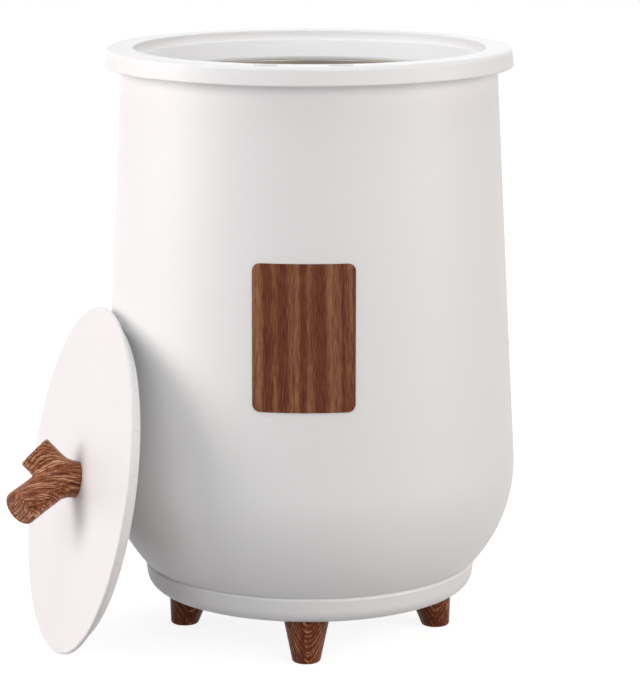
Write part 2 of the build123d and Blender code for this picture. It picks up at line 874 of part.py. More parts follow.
def board_hole_places():
    """Places (x, y) of the power board's four holes."""
    x = power_board_length / 2 - power_board_hole_inset
    y = power_board_width / 2 - power_board_hole_inset
    return ((-x, -y), (x, -y), (x, y), (-x, y))


def make_power_board():
    """Power circuit board on the tray's four posts."""
    board = block(0, 0, power_board_z, (power_board_length, power_board_width, power_board_t))
    for x, y in board_hole_places():
        board -= peg(x, y, power_board_z - 1, power_board_top + 1, small_screw_r + 0.1)
    return board


def make_board_screws():
    """Four screws that hold the power board."""
    tip_z = tray_floor_top + 0.5
    places = board_hole_places()
    sizes = (small_screw_r, small_head_r, small_head_t)
    return compound([screw(x, y, power_board_top, tip_z, *sizes) for x, y in places])


def make_power_relay():
    """Relay that switches the heater."""
    relay = block(-22, -8, power_board_top, relay_size)
    return fillet(relay.edges().group_by(Axis.Z)[-1], 0.6)


def make_power_capacitors():
    """Capacitors of the low-voltage supply."""
    cans = []
    for index in range(3):
        x = 4 + index * capacitor_pitch
        can = peg(x, -10, power_board_top, power_board_top + capacitor_h, capacitor_r)
        cans.append(fillet(can.edges().group_by(Axis.Z)[-1], 0.6))
    return compound(cans)


def terminal_y():
    """How far behind the axis the terminal block stands."""
    return power_board_width / 2 - terminal_size[1] / 2 - 8


def make_terminal_block():
    """Screw terminals for the mains and the heater."""
    terminal = block(0, terminal_y(), power_board_top, terminal_size)
    for index in range(3):
        x = (index - 1) * terminal_size[0] / 3
        top = power_board_top + terminal_size[2]
        terminal -= peg(x, terminal_y() - 1, top - 3, top + 1, 2.2)
    return terminal


def tube(points, radii, radius):
    """A round lead along straight runs joined by arcs, and its drawn length."""
    path = FilletPolyline(*points, radius=radii)
    start = Plane(origin=path @ 0, z_dir=path % 0)
    lead = sweep(start * Circle(radius), path=path)
    length = path.length
    section = 3.14159265 * radius**2
    print("lead length %.1f mm, volume ratio %.4f" % (length, lead.volume / (section * length)))
    return lead


def make_control_harness():
    """Lead bundle from the power board's front edge up inside the barrel to the control board."""
    half_y = power_board_width / 2
    run_r = pot_outer_r + heater_t + sleeve_t + harness_r + 2.5
    top_r = harness_top_r()
    slot_r = lead_slot_r()
    board_z = power_board_top + harness_r
    points = [
        (0, -half_y + 8, board_z),
        (0, -half_y - 30, board_z),
        (0, -slot_r, board_z + 4),
        (0, -slot_r, base_flange_top + 3),
        (0, -run_r, base_flange_top + 26),
        (0, -run_r, lip_z - 24),
        (0, -top_r, lip_z - 4),
        (0, -top_r, control_board_z),
    ]
    bends = (harness_bend_r, lead_bend_r, lead_bend_r, harness_bend_r, harness_sweep_r, harness_sweep_r)
    return tube(points, bends, harness_r)


def make_heater_leads():
    """Two leads from the terminal block up to the heating mat's tab."""
    leads = []
    slot_r = lead_slot_r()
    tab_r = pot_outer_r + wrap_gap + heater_t + 1.6 - lead_r
    tab_low = pot_low_z + heater_low
    rear = terminal_y() + terminal_size[1] / 2
    for side in (-1, 1):
        x = side * 3.0
        z = power_board_top + 4
        points = [
            (x, rear, z),
            (x, rear + 45, z),
            (x, slot_r, z + 4),
            (x, slot_r, base_flange_top + 4),
            (x, tab_r, tab_low - 8),
            (x, tab_r, tab_low),
        ]
        leads.append(tube(points, (2 * lead_bend_r, lead_bend_r, lead_bend_r, lead_bend_r), lead_r))
    return compound(leads)


def make_sensor_leads():
    """Leads from the power board up through the heat shield to the fuse and the sensor."""
    leads = []
    hole_y = lead_hole_y()
    fuse_end = fuse_length / 2 + fuse_wire_reach
    ends = ((sensor_spread, fuse_end, fuse_r), (-sensor_spread, sensor_length / 2, sensor_r))
    for far_x, end_y, radius in ends:
        x = 2.5 * sensor_lead_r * (1 if far_x > 0 else -1)
        z = held_z(radius)
        points = [
            (x, hole_y, power_board_top),
            (x, hole_y, z),
            (far_x, hole_y + 2 * sensor_bend_r, z),
            (far_x, end_y, z),
        ]
        leads.append(tube(points, (sensor_bend_r, sensor_bend_r), sensor_lead_r))
    return compound(leads)


# ---- plaque ----


def make_front_badge():
    """Thin wood plaque that follows the barrel's front."""
    low = badge_low_z - 5
    high = badge_low_z + badge_height + 5
    outer = badge_gap + badge_t
    band = turned(
        [
            (barrel_r(low) + badge_gap, low),
            (barrel_r(low) + outer, low),
            (barrel_r(high) + outer, high),
            (barrel_r(high) + badge_gap, high),
        ]
    )
    outline = RectangleRounded(badge_width, badge_height, badge_corner_r)
    cutter = Plane.XZ * Pos(0, badge_low_z + badge_height / 2, 0) * extrude(outline, barrel_r(low) + 20)
    return band & cutter


# ---- lid, modelled lying on its own axis with its top face at height 0 ----

lid_r = mouth_r - lid_gap
lid_screw_circle_r = lid_r - lid_screw_inset
band_top_r = ledge_r - band_gap
band_low_r = funnel_r(band_depth) - band_tip_gap
lid_thickness = lid_plate_t + band_depth
lid_boss_low = -lid_plate_t - lid_boss_depth
well_r = lid_boss_r + lid_pad_gap + lid_well_wall
lid_floor_z = lid_base_t - lid_thickness


def lid_place():
    """The lid's pose: it stands on the floor and leans its upper rear edge on the barrel."""
    lean = radians(lid_lean)
    centre_z = lid_r * cos(lean) + lid_plate_t * sin(lean) + lid_floor_gap
    contact_z = centre_z - lid_thickness * sin(lean) + band_low_r * cos(lean)
    touch = barrel_r(contact_z) + lid_barrel_gap
    radial = touch + lid_thickness * cos(lean) + band_low_r * sin(lean)
    bearing = radians(lid_bearing)
    facing = radians(lid_bearing + lid_turn)
    centre = Vector(radial * sin(bearing), -radial * cos(bearing), centre_z)
    normal = Vector(sin(facing) * cos(lean), -cos(facing) * cos(lean), sin(lean))
    level = Vector(0, 0, 1).cross(normal).normalized()
    return Plane(origin=centre, x_dir=level, z_dir=normal)


def make_lid_top():
    """Lid's upper plate with a rounded edge, a centre boss and bosses for its screws."""
    top = disc(lid_r, -lid_plate_t, 0)
    top = fillet(circle_edges(top, lid_r, 0), lid_edge_round)
    top = fillet(circle_edges(top, lid_r, -lid_plate_t), 0.5)
    top += disc(lid_boss_r, lid_boss_low, -1)
    for x, y in ring_places(6, lid_screw_circle_r, 0):
        top += peg(x, y, lid_floor_z, -1, lid_post_r)
    for x, y in ring_places(6, lid_screw_circle_r, 0):
        top -= peg(x, y, lid_floor_z - 1, -lid_plate_t, small_screw_r + thread_gap)
    return top - disc(handle_screw_r + hole_gap, lid_boss_low - 1, 1)


def make_lid_base():
    """Lid's underside: a tapered band with small ribs, a floor and a well for the screw."""
    base = turned(
        [
            (0, -lid_thickness),
            (band_low_r, -lid_thickness),
            (band_top_r, -lid_plate_t),
            (0, -lid_plate_t),
        ]
    )
    base = fillet(circle_edges(base, band_low_r, -lid_thickness), band_edge_round)
    slope = atan2(band_top_r - band_low_r, band_depth)
    middle = (-lid_plate_t - lid_thickness) / 2
    rib = Box(band_rib_width, 2.0, band_rib_length)
    rib_r = (band_top_r + band_low_r) / 2 + band_rib_proud - 1.0
    for index in range(band_rib_count):
        turn = index * 360 / band_rib_count
        base += at_bearing(Pos(0, -rib_r, middle) * Rot(degrees(slope), 0, 0) * rib, turn)
    hollow_low_r = band_low_r - lid_base_t
    hollow_top_r = band_top_r - lid_base_t
    hollow = turned(
        [
            (0, lid_floor_z),
            (hollow_low_r, lid_floor_z),
            (hollow_top_r, -lid_plate_t + 1),
            (0, -lid_plate_t + 1),
        ]
    )
    base -= hollow
    base += disc(well_r, -lid_thickness, -lid_plate_t)
    base -= disc(lid_boss_r + lid_pad_gap, -lid_thickness - 1, -lid_plate_t + 1)
    for x, y in ring_places(6, lid_screw_circle_r, 0):
        base -= peg(x, y, -lid_thickness - 1, lid_floor_z + 1, small_screw_r + 0.1)
    return base


def make_lid_insulation():
    """Foam inside the lid, cut round the well and the screw bosses."""
    pad = turned(
        [
            (well_r + lid_pad_gap, lid_floor_z + lid_pad_gap),
            (band_low_r - lid_base_t - 0.5, lid_floor_z + lid_pad_gap),
            (band_top_r - lid_base_t - 1.0, -lid_plate_t - lid_pad_gap),
            (well_r + lid_pad_gap, -lid_plate_t - lid_pad_gap),
        ]
    )
    for x, y in ring_places(6, lid_screw_circle_r, 0):
        pad -= peg(x, y, -lid_thickness, 0, lid_post_r + lid_pad_gap)
    return pad


def make_lid_screws():
    """Six screws that hold the lid's underside to its plate."""
    tip_z = -lid_plate_t - 0.8
    places = ring_places(6, lid_screw_circle_r, 0)
    return compound(
        [screw(x, y, -lid_thickness, tip_z, small_screw_r, small_head_r, small_head_t) for x, y in places]
    )


def arm_end(angle, length, bearing):
    """End point of a branch arm that leans from the stem by an angle, towards a bearing."""
    lean = radians(angle)
    reach = length * sin(lean)
    turn = radians(bearing)
    return Vector(reach * cos(turn), reach * sin(turn), fork_height + length * cos(lean))


def make_arm(end):
    """One branch arm: a round bar from the fork to its end point."""
    start = Vector(0, 0, fork_height)
    along = (end - start).normalized()
    return Plane(origin=start, z_dir=along) * extrude(Circle(branch_r), (end - start).length)


def make_branch_handle():
    """Handle cut from a forked branch: a stem on the lid and two arms."""
    stem = disc(stem_r, 0, fork_height + 3)
    knuckle = Pos(0, 0, fork_height) * Sphere(branch_r)
    long_end = arm_end(long_arm_angle, long_arm, 0)
    short_end = arm_end(short_arm_angle, short_arm, 180 + short_arm_turn)
    handle = stem + knuckle + make_arm(long_end) + make_arm(short_end)
    ends = []
    for edge in handle.edges().filter_by(GeomType.CIRCLE):
        for end in (long_end, short_end):
            if (edge.arc_center - end).length < 0.1 and edge.is_closed:
                ends.append(edge)
    handle = fillet(ends, arm_end_round)
    handle = Rot(0, 0, fork_turn) * handle
    bore = insert_start + insert_depth + 4
    handle -= disc(insert_r + thread_gap, -1, insert_start + insert_depth)
    return handle - disc(handle_screw_r + hole_gap, 0, bore)


def make_handle_insert():
    """Threaded sleeve in the handle's stem."""
    return disc(insert_r, insert_start, insert_start + insert_depth, handle_screw_r + thread_gap)


def make_handle_washer():
    """Washer between the lid's centre boss and the handle screw's head."""
    return disc(handle_washer_r, lid_boss_low - washer_t, lid_boss_low, handle_screw_r + 0.05)


def make_handle_screw():
    """Screw up through the lid into the handle's sleeve."""
    head_z = lid_boss_low - washer_t
    tip_z = insert_start + insert_depth + 1
    return screw(0, 0, head_z, tip_z, handle_screw_r, handle_head_r, handle_head_t)


def make_parts():
    """Every node of the part by name, in its place."""
    lid = lid_place().location
    parts = {
        "outer_shell": make_outer_shell(),
        "base_tray": make_base_tray(),
        "top_rim": make_top_rim(),
        "inner_collar": make_inner_collar(),
        "inner_pot": make_inner_pot(),
        "heater_film": make_heater_film(),
        "insulation_sleeve": make_insulation_sleeve(),
        "insulation_disc": make_insulation_disc(),
        "heat_shield": make_heat_shield(),
        "shield_screws": make_shield_screws(),
        "thermostat": make_thermostat(),
        "thermal_fuse": make_thermal_fuse(),
        "temperature_sensor": make_temperature_sensor(),
        "sensor_clips": make_sensor_clips(),
        "power_board": make_power_board(),
        "board_screws": make_board_screws(),
        "power_relay": make_power_relay(),
        "power_capacitors": make_power_capacitors(),
        "terminal_block": make_terminal_block(),
        "control_board": make_control_board(),
        "control_board_screws": make_control_board_screws(),
        "indicator_leds": make_indicator_leds(),
        "light_pipes": make_light_pipes(),
        "control_harness": make_control_harness(),
        "heater_leads": make_heater_leads(),
        "sensor_leads": make_sensor_leads(),
        "rim_screws": make_rim_screws(),
        "case_screws": make_case_screws(),
        "foot_screws": make_foot_screws(),
        "foot_washers": make_foot_washers(),
        "cord_gland": make_cord_gland(),
        "gland_nut": make_gland_nut(),
        "front_badge": make_front_badge(),
        "lid_top": lid * make_lid_top(),
        "lid_base": lid * make_lid_base(),
        "lid_insulation": lid * make_lid_insulation(),
        "lid_screws": lid * make_lid_screws(),
        "branch_handle": lid * make_branch_handle(),
        "handle_insert": lid * make_handle_insert(),
        "handle_washer": lid * make_handle_washer(),
        "handle_screw": lid * make_handle_screw(),
    }
    foot = make_foot()
    for name, bearing in (("front", 0), ("right", 90), ("rear", 180), ("left", 270)):
        parts["foot_" + name] = at_bearing(foot, bearing)
    for name, side in (("power", -1), ("timer", 1)):
        parts[name + "_button"] = button_place(side) * make_button()
        parts[name + "_dome"] = button_place(side) * make_dome()
    return parts


def main():
    """Write every node to its own file and print the lid's pose."""
    os.makedirs("parts", exist_ok=True)
    for name, shape in make_parts().items():
        export_step(shape, os.path.join("parts", name + ".step"))
    pose = lid_place()
    print("lid centre %.3f %.3f %.3f" % tuple(pose.origin))
    print("lid normal %.6f %.6f %.6f" % tuple(pose.z_dir))


main()
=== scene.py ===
"""Looks of a towel warmer bucket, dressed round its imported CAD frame.

The frame holds every size that matters: the barrel stands on the floor plane z = 0 with its axis on Z and
its front towards -Y. The lid leans on its left side. Sizes here are in millimetres unless a comment names
another unit, and MM turns them into Blender's metres as a mesh is written.
"""

import json
import logging
import math
from collections.abc import Callable
from dataclasses import dataclass, field, replace
from enum import Enum
from functools import cache, partial

import bmesh
import bpy
import numpy as np
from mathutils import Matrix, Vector


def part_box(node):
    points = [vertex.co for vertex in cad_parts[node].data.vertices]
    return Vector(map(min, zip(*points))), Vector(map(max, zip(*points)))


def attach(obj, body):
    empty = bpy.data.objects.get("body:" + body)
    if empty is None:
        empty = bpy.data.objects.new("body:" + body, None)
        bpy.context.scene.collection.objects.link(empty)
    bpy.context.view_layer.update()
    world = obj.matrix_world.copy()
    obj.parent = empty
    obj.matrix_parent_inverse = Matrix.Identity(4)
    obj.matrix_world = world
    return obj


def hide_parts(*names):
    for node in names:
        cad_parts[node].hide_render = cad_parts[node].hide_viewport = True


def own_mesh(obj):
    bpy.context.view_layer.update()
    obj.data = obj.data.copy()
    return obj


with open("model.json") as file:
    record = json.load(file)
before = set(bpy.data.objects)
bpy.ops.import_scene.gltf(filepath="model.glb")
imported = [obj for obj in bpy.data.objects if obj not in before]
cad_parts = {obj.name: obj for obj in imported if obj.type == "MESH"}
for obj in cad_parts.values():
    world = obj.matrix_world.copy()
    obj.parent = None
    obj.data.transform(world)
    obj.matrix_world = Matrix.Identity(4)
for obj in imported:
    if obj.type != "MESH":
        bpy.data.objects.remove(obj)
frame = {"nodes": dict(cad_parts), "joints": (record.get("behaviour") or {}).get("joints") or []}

MM = 0.001
TURN_STEPS = 256  # points round a large turned piece
WHITE = (1.0, 1.0, 1.0, 1.0)
LOG = logging.getLogger("towel_warmer_bucket")
Points = np.ndarray
Node = bpy.types.Node
Socket = bpy.types.NodeSocket
Adder = Callable[..., Node]  # add_node, bound to a tree
Frame = tuple[Points, Points]  # a frame's axes, one row each, and its origin


# ---------------- materials


def hex_linear(code: str) -> tuple[float, float, float, float]:
    """Turn an sRGB hex colour, such as "EFEDEC", into linear red, green, blue and an alpha of 1."""
    parts = [int(code[i : i + 2], 16) / 255 for i in (0, 2, 4)]
    return (*(c / 12.92 if c <= 0.04045 else ((c + 0.055) / 1.055) ** 2.4 for c in parts), 1.0)


def add_node(tree: bpy.types.NodeTree, kind: str, inputs: dict | tuple = (), **settings) -> Node:
    """Add one node with its settings, values and links.

    Args:
        tree: the node tree that gets it.
        kind: Blender's node type, without the ShaderNode in front.
        inputs: a value, a socket, or a node whose first live output counts, for each input. A dict gives the
            inputs by name or number, and a tuple gives them in order.
        settings: the node's own attributes.

    Returns:
        The new node.
    """
    node = tree.nodes.new("ShaderNode" + kind)
    for name, value in settings.items():
        setattr(node, name, value)
    for key, value in inputs.items() if isinstance(inputs, dict) else enumerate(inputs):
        if isinstance(value, Node):
            value = next(socket for socket in value.outputs if socket.enabled)
        if isinstance(value, Socket):
            tree.links.new(value, node.inputs[key])
        else:
            node.inputs[key].default_value = value
    return node


def set_ramp(node: Node, *stops: tuple[float, str]) -> None:
    """Give a colour ramp its stops.

    Args:
        node: a ValToRGB node.
        stops: position and sRGB hex colour of each stop, in order.
    """
    elements = node.color_ramp.elements
    while len(elements) < len(stops):
        elements.new(1.0)
    for element, (position, colour) in zip(elements, stops):
        element.position, element.color = position, hex_linear(colour)


def empty_tree(owner: bpy.types.Material | bpy.types.World) -> Adder:
    """Switch on the nodes of a material or a world and clear them.

    Args:
        owner: the material or the world.

    Returns:
        What adds a node to it.
    """
    owner.use_nodes = True
    owner.node_tree.nodes.clear()
    return partial(add_node, owner.node_tree)


def off_axis(add: Adder, place: Node | Socket, centre: tuple[float, float]) -> Node:
    """Distance of a place from the line along Z at a centre: the length of (place - centre) times (1, 1, 0)."""
    offset = add("VectorMath", (place, (*centre, 0.0)), operation="SUBTRACT")
    flat = add("VectorMath", (offset, (1.0, 1.0, 0.0)), operation="MULTIPLY")
    return add("VectorMath", (flat,), operation="LENGTH")


@dataclass(frozen=True)
class SurfaceFinish:
    """What a surface is made of and how it was made. Colours are sRGB hex."""

    name: str

    def inputs(self, add: Adder) -> dict:
        """Add the pattern's nodes and say what feeds each of the shader's sockets."""
        raise NotImplementedError

    def make(self) -> bpy.types.Material:
        """Build the node material: one Principled shader, fed by inputs.

        Returns:
            The new material.
        """
        material = bpy.data.materials.new(self.name)
        add = empty_tree(material)
        add("OutputMaterial", {"Surface": add("BsdfPrincipled", self.inputs(add))})
        return material


@dataclass(frozen=True)
class MouldedPlastic(SurfaceFinish):
    """Injection-moulded plastic or rubber: an even colour, a satin sheen and a faint orange peel."""

    colour: str  # of the resin
    tint: str  # that it drifts to over large patches
    roughness: float  # mean roughness, from the mould's texture
    peel_mm: float = 2.2  # size of the orange peel's cells
    relief_mm: float = 0.006  # height of the orange peel
    ior: float = 1.53  # index of refraction, that of ABS
    patch_mm: float = 1000 / 9  # size of the patches that drift in colour

    def inputs(self, add: Adder) -> dict:
        """Mix the two colours by a slow noise, and take roughness and bump from the peel's fine noise.

        Args:
            add: adds a node to the material.

        Returns:
            What feeds each of the shader's sockets, by name.
        """
        place = add("TexCoord").outputs["Object"]
        drift = add("TexNoise", {"Vector": place, "Scale": 1 / (self.patch_mm * MM), "Detail": 2.0})
        peel = add("TexNoise", {"Vector": place, "Scale": 1 / (self.peel_mm * MM), "Detail": 3.0})
        colours = {0: drift, 6: hex_linear(self.colour), 7: hex_linear(self.tint)}
        spread = (peel, 0.3, 0.7, self.roughness - 0.03, self.roughness + 0.03)
        relief = {"Height": peel, "Strength": 0.5, "Distance": self.relief_mm * MM}
        return {
            "Base Color": add("Mix", colours, data_type="RGBA"),
            "Roughness": add("MapRange", spread),
            "Normal": add("Bump", relief),
            "IOR": self.ior,
        }


@dataclass(frozen=True)
class Walnut(SurfaceFinish):
    """Stained walnut under a thin satin lacquer: year rings, streaks, fibres and open pores.

    Its pattern reads the piece's own "grain" attribute: millimetres in the plank that the piece was cut from,
    with X and Y across the fibres and Z along them.
    """

    dark: str  # late wood
    middle: str  # the wood between
    light: str  # early wood
    pith: tuple[float, float]  # where the rings' centre lies, across the fibres
    ring_mm: float  # mean ring spacing
    slope: float  # how far the rings lean from the fibres, in mm of ring per mm along
    wave_mm: float  # how far the rings and the streaks wander
    wave_length_mm: float  # distance over which they wander
    line: float  # share of a ring that stays dark, from -1 for an even wave to near 1 for thin light lines
    rings_show: float  # how much the rings show, from 0 to 1
    streak_mm: float  # width of the streaks between the rings
    stretch: float  # how many times longer than wide the streaks are
    streaks_show: float  # how much the streaks show
    fibres_show: float  # how much the fibres show
    roughness: float  # roughness of the lacquer
    year_shift: float = 1.5  # how far a year's ring strays from its even place, in rings
    patch_mm: float = 6.25  # width of the patches in which the rings are fainter or stronger
    patch_shows: tuple[float, float] = (0.25, 1.1)  # strength of the rings in such patches
    fibre_mm: float = 0.55  # a fibre is a few hundredths wide, so it is drawn ten times as coarse to show
    pore_mm: float = 0.22  # an open pore is a dark dash of 0.1 mm, drawn twice as wide to show
    pores_show: float = 0.14  # how much the pores show
    relief_mm: float = 0.1  # how deep the bump's tone goes

    def warped(self, add: Adder, grain: Socket) -> Node:
        """Push plank coordinates sideways by a slow noise, so that nothing runs straight.

        Args:
            add: adds a node to the material.
            grain: the plank coordinates.

        Returns:
            A node that gives the pushed coordinates.
        """
        cells = add("Mapping", {"Vector": grain, "Scale": (1.0, 1.0, 0.6)})
        slow = {"Vector": cells, "Scale": 1 / self.wave_length_mm, "Detail": 3.0, "Roughness": 0.6}
        wander = add("TexNoise", slow).outputs["Color"]
        centred = add("VectorMath", (wander, (0.5, 0.5, 0.5)), operation="SUBTRACT")
        reach = (2 * self.wave_mm, 2 * self.wave_mm, 0.0)
        return add("VectorMath", (centred, reach, grain), operation="MULTIPLY_ADD")

    def rings(self, add: Adder, place: Node) -> Node:
        """Year rings as a tone from 0 to 1.

        The phase is the distance from the pith plus slope times length, over the spacing, plus an uneven share
        for each year. The tone is the sine of its turns, cut off below the line value, and a slow noise makes
        it fainter and stronger from patch to patch.

        Args:
            add: adds a node to the material.
            place: the pushed plank coordinates.

        Returns:
            A node that gives the rings' tone.
        """
        along = add("SeparateXYZ", (place,)).outputs[2]
        radius = off_axis(add, place, self.pith)
        lean = add("Math", (along, self.slope, radius), operation="MULTIPLY_ADD")
        phase = add("Math", (lean, self.ring_mm), operation="DIVIDE")
        year = add("TexNoise", {"W": phase, "Scale": 0.6, "Detail": 2.0}, noise_dimensions="1D")
        uneven = add("Math", (year, self.year_shift, phase), operation="MULTIPLY_ADD")
        turn = add("Math", (uneven, 2 * math.pi), operation="MULTIPLY")
        wave = add("Math", (turn,), operation="SINE")
        tone = add("MapRange", (wave, self.line, 1.0), interpolation_type="SMOOTHSTEP")
        size = (1 / self.patch_mm, 1 / self.patch_mm, 0.5 / self.wave_length_mm)
        cells = add("Mapping", {"Vector": place, "Scale": size})
        patch = add("TexNoise", {"Vector": cells, "Scale": 1.0, "Detail": 2.0})
        strength = add("MapRange", (patch, 0.35, 0.65, *self.patch_shows))
        return add("Math", (tone, strength), operation="MULTIPLY")

    @staticmethod
    def threads(add: Adder, place: Node | Socket, width_mm: float, stretch: float, span: tuple) -> Node:
        """Long thin cells along the fibres, as a tone from -0.5 to 0.5.

        Args:
            add: adds a node to the material.
            place: plank coordinates.
            width_mm: width of a cell.
            stretch: how many times longer than wide it is.
            span: noise values that become -0.5 and 0.5.

        Returns:
            A node that gives the tone.
        """
        size = (1 / width_mm, 1 / width_mm, 1 / (width_mm * stretch))
        cells = add("Mapping", {"Vector": place, "Scale": size})
        fine = {"Vector": cells, "Scale": 1.0, "Detail": 4.0, "Roughness": 0.62}
        return add("MapRange", (add("TexNoise", fine), *span, -0.5, 0.5))

    def inputs(self, add: Adder) -> dict:
        """Add the streaks, fibres and pores to the rings' tone, which gives colour, roughness and bump.

        Args:
            add: adds a node to the material.

        Returns:
            What feeds each of the shader's sockets, by name.
        """
        grain = add("Attribute", attribute_name="grain").outputs["Vector"]
        place = self.warped(add, grain)
        level = 0.5 - self.rings_show / 2
        tone = add("Math", (self.rings(add, place), self.rings_show, level), operation="MULTIPLY_ADD")
        for layer, share in (
            (self.threads(add, place, self.streak_mm, self.stretch, (0.34, 0.66)), self.streaks_show),
            (self.threads(add, place, self.fibre_mm, 22.0, (0.32, 0.68)), self.fibres_show),
            (self.threads(add, grain, self.pore_mm, 26.0, (0.3, 0.48)), self.pores_show),
        ):
            tone = add("Math", (layer, share, tone), operation="MULTIPLY_ADD")
        ramp = add("ValToRGB", (tone,))
        set_ramp(ramp, (0.05, self.dark), (0.5, self.middle), (0.95, self.light))
        return {
            "Base Color": ramp,
            "Roughness": add("MapRange", {0: tone, 3: self.roughness + 0.08, 4: self.roughness - 0.04}),
            "Normal": add("Bump", {"Height": tone, "Strength": 0.6, "Distance": self.relief_mm * MM}),
            "IOR": 1.5,
            # The lacquer soaks into the open pores, so it mirrors far less than a closed film would.
            "Specular IOR Level": 0.14,
        }


@dataclass(frozen=True)
class TurnedMetal(SurfaceFinish):
    """Bare metal with fine turning or spinning lines round the Z axis of the object's space."""

    colour: str
    roughness: float
    line_mm: float  # spacing of the lines, drawn coarser than real ones so that they show
    relief_mm: float  # depth of the lines
    smear_mm: float = 1000 / 14  # size of the duller patches
    dulling: float = 0.86  # how bright they are beside the rest

    def inputs(self, add: Adder) -> dict:
        """Noise of radius and height alone gives the lines, and a slow noise gives the duller patches.

        Args:
            add: adds a node to the material.

        Returns:
            What feeds each of the shader's sockets, by name.
        """
        place = add("TexCoord").outputs["Object"]
        height = add("SeparateXYZ", (place,)).outputs[2]
        ring = add("CombineXYZ", (off_axis(add, place, (0.0, 0.0)), height, 0.0))
        lines = add("TexNoise", {"Vector": ring, "Scale": 1 / (self.line_mm * MM), "Detail": 4.0})
        smear = add("TexNoise", {"Vector": place, "Scale": 1 / (self.smear_mm * MM), "Detail": 3.0})
        bright = hex_linear(self.colour)
        colours = {0: smear, 6: bright, 7: (*(self.dulling * c for c in bright[:3]), 1.0)}
        spread = (lines, 0.3, 0.7, self.roughness - 0.06, self.roughness + 0.08)
        relief = {"Height": lines, "Strength": 0.4, "Distance": self.relief_mm * MM}
        return {
            "Base Color": add("Mix", colours, data_type="RGBA"),
            "Roughness": add("MapRange", spread),
            "Normal": add("Bump", relief),
            "Metallic": 1.0,
        }


@dataclass(frozen=True)
class NeedledFelt(SurfaceFinish):
    """White needled felt or foam: matted fibres with a soft nap."""

    colour: str  # of the fibres
    shade: str  # painted shade in the hollows between the tufts
    tuft_mm: float = 10 / 7  # size of the tufts

    def inputs(self, add: Adder) -> dict:
        """One twisted noise gives the tufts' relief, and paints their hollows darker as shade.

        Args:
            add: adds a node to the material.

        Returns:
            What feeds each of the shader's sockets, by name.
        """
        place = add("TexCoord").outputs["Object"]
        tufts = {"Vector": place, "Scale": 1 / (self.tuft_mm * MM), "Detail": 5.0, "Distortion": 1.5}
        nap = add("TexNoise", tufts)
        # The hollows, where the nap is low, get the darker colour: painted shade.
        ramp = add("ValToRGB", (nap,))
        set_ramp(ramp, (0.35, self.shade), (0.65, self.colour))
        bump = add("Bump", {"Height": nap, "Strength": 0.8, "Distance": 0.4 * MM})
        return {"Base Color": ramp, "Roughness": 0.95, "Sheen Weight": 0.3, "Normal": bump}


@dataclass(frozen=True)
class CircuitLaminate(SurfaceFinish):
    """Glass-fibre laminate under green solder mask, with squared copper tracks below it."""

    mask: str  # the solder mask
    copper: str  # the mask over copper
    track_mm: float = 6.25  # spacing of the tracks

    def inputs(self, add: Adder) -> dict:
        """Squared cells give the tracks: near a cell's middle the bare mask, further out copper under it.

        Args:
            add: adds a node to the material.

        Returns:
            What feeds each of the shader's sockets, by name.
        """
        place = add("TexCoord").outputs["Object"]
        cells = {"Vector": place, "Scale": 1 / (self.track_mm * MM)}
        tracks = add("TexVoronoi", cells, feature="F1", distance="MANHATTAN")
        ramp = add("ValToRGB", (tracks,))
        set_ramp(ramp, (0.42, self.mask), (0.5, self.copper))
        bump = add("Bump", {"Height": tracks, "Strength": 0.3, "Distance": 0.03 * MM})
        return {"Base Color": ramp, "Roughness": 0.35, "Normal": bump}


